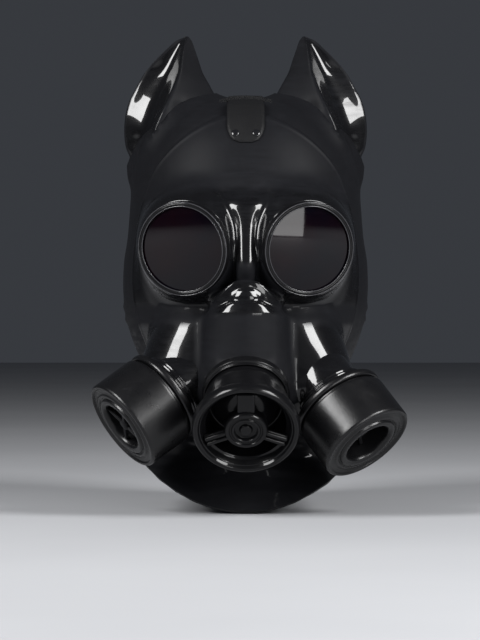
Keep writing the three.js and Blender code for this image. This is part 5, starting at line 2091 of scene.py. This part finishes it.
@dataclass
class Studio:
    """The pale floor, the soft lights and the camera."""

    floor_drop: float = 281.5
    camera: tuple = (-3.85, -1800.0, -152.2)
    focal_pixels: float = 2571.0

    def build(self) -> None:
        """Builds the floor, backdrop, lights and camera."""
        self.floor()
        self.world()
        self.lights()
        self.view()

    def floor(self) -> None:
        """A pale floor under the hem."""
        z = -self.floor_drop * MM
        size = 6.0
        mesh = bpy.data.meshes.new("floor")
        mesh.from_pydata(
            [(-size, -size, z), (size, -size, z), (size, size, z), (-size, size, z)], [], [[0, 1, 2, 3]]
        )
        material = bpy.data.materials.new("pale_floor")
        material.use_nodes = True
        kit = NodeKit(material.node_tree)
        shader = material.node_tree.nodes["Principled BSDF"]
        place = kit.node("ShaderNodeTexCoord").outputs["Object"]
        cloud = kit.spread(kit.noise(place, 3.0, 4.0), 0.3, 0.7)
        mix = kit.node("ShaderNodeMix", data_type="RGBA")
        kit.feed(mix.inputs[0], cloud)
        mix.inputs[6].default_value = (0.35, 0.355, 0.37, 1)
        mix.inputs[7].default_value = (0.38, 0.385, 0.4, 1)
        kit.feed(shader.inputs["Base Color"], mix.outputs[2])
        shader.inputs["Roughness"].default_value = 0.7
        mesh.materials.append(material)
        item = bpy.data.objects.new("floor", mesh)
        bpy.context.scene.collection.objects.link(item)

    def world(self) -> None:
        """A dim, even grey all round, shown in plain sRGB so that black rubber stays black."""
        bpy.context.scene.view_settings.view_transform = "Standard"
        world = bpy.data.worlds.new("studio")
        world.use_nodes = True
        back = world.node_tree.nodes["Background"]
        back.inputs["Color"].default_value = (0.17, 0.185, 0.215, 1)
        back.inputs["Strength"].default_value = 0.225
        bpy.context.scene.world = world

    def area(
        self, name: str, turn: float, rise: float, distance: float, aim: tuple, size: tuple, power: float
    ) -> None:
        """A soft rectangular light, kept out of the camera's own view.

        Args:
            name: Its name.
            turn: Degrees that it stands to the right of the face.
            rise: Degrees that it stands above what it aims at.
            distance: How far it stands from there.
            aim: What it points at, in metres.
            size: Its width and height.
            power: Its power in watts.
        """
        data = bpy.data.lights.new(name, "AREA")
        data.shape = "RECTANGLE"
        data.size, data.size_y = size
        data.energy = power
        t, r = math.radians(turn), math.radians(rise)
        away = Vector((math.sin(t) * math.cos(r), -math.cos(t) * math.cos(r), math.sin(r)))
        item = bpy.data.objects.new(name, data)
        item.location = Vector(aim) + away * distance
        item.rotation_euler = away.to_track_quat("Z", "Y").to_euler()
        item.visible_camera = False
        bpy.context.scene.collection.objects.link(item)

    def lights(self) -> None:
        """Two high soft boxes at the sides, a pale window for the right lens and a weak front light."""
        centre = (0.0, -0.05, -0.12)
        self.area("left_softbox", -52.0, 32.0, 1.6, centre, (0.6, 0.85), 36.0)
        self.area("right_softbox", 54.0, 30.0, 1.6, centre, (0.6, 0.85), 36.0)
        self.area("window", 28.0, -1.0, 0.95, (0.04, -0.11, -0.105), (0.34, 0.3), 2.6)
        self.area("front_fill", 0.0, 20.0, 2.4, centre, (2.2, 1.2), 0.6)

    def view(self) -> None:
        """The camera at the photograph's angle."""
        data = bpy.data.cameras.new("camera")
        data.sensor_width = 36.0
        data.lens = self.focal_pixels * 36.0 / 640.0
        data.clip_end = 50.0
        item = bpy.data.objects.new("camera", data)
        item.location = [v * MM for v in self.camera]
        item.rotation_euler = (math.radians(90.0), 0.0, 0.0)
        bpy.context.scene.collection.objects.link(item)
        bpy.context.scene.camera = item


def plain(box: Sequence) -> list:
    """A box's corners as plain lists."""
    return [[round(float(v), 6) for v in corner] for corner in box]


def main() -> None:
    """Builds the mask's pieces and the studio round the part."""
    logging.basicConfig(level=logging.INFO, format="%(name)s: %(message)s")
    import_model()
    Studio().build()
    hood = HoodForm()
    face = FaceForm(hood)
    bench = Bench(Workshop(), Finishes(), Trees(), hood, face, FaceSkin(face))
    ears = Ears(bench)
    Hood(bench).build(ears.trees())
    FacePiece(bench).build()
    ears.build()
    Goggles(bench).build()
    FrontValve(bench).build()
    for place, frame, depth in zip(face.filters, bench.skin.ports, (0.6, 8.0)):
        SideFilter(bench, place, frame, depth).build()
    CrownStrap(bench).build()
    LOG.info("pieces: %d", len(bench.shop.made))


if __name__ == "__main__":
    main()
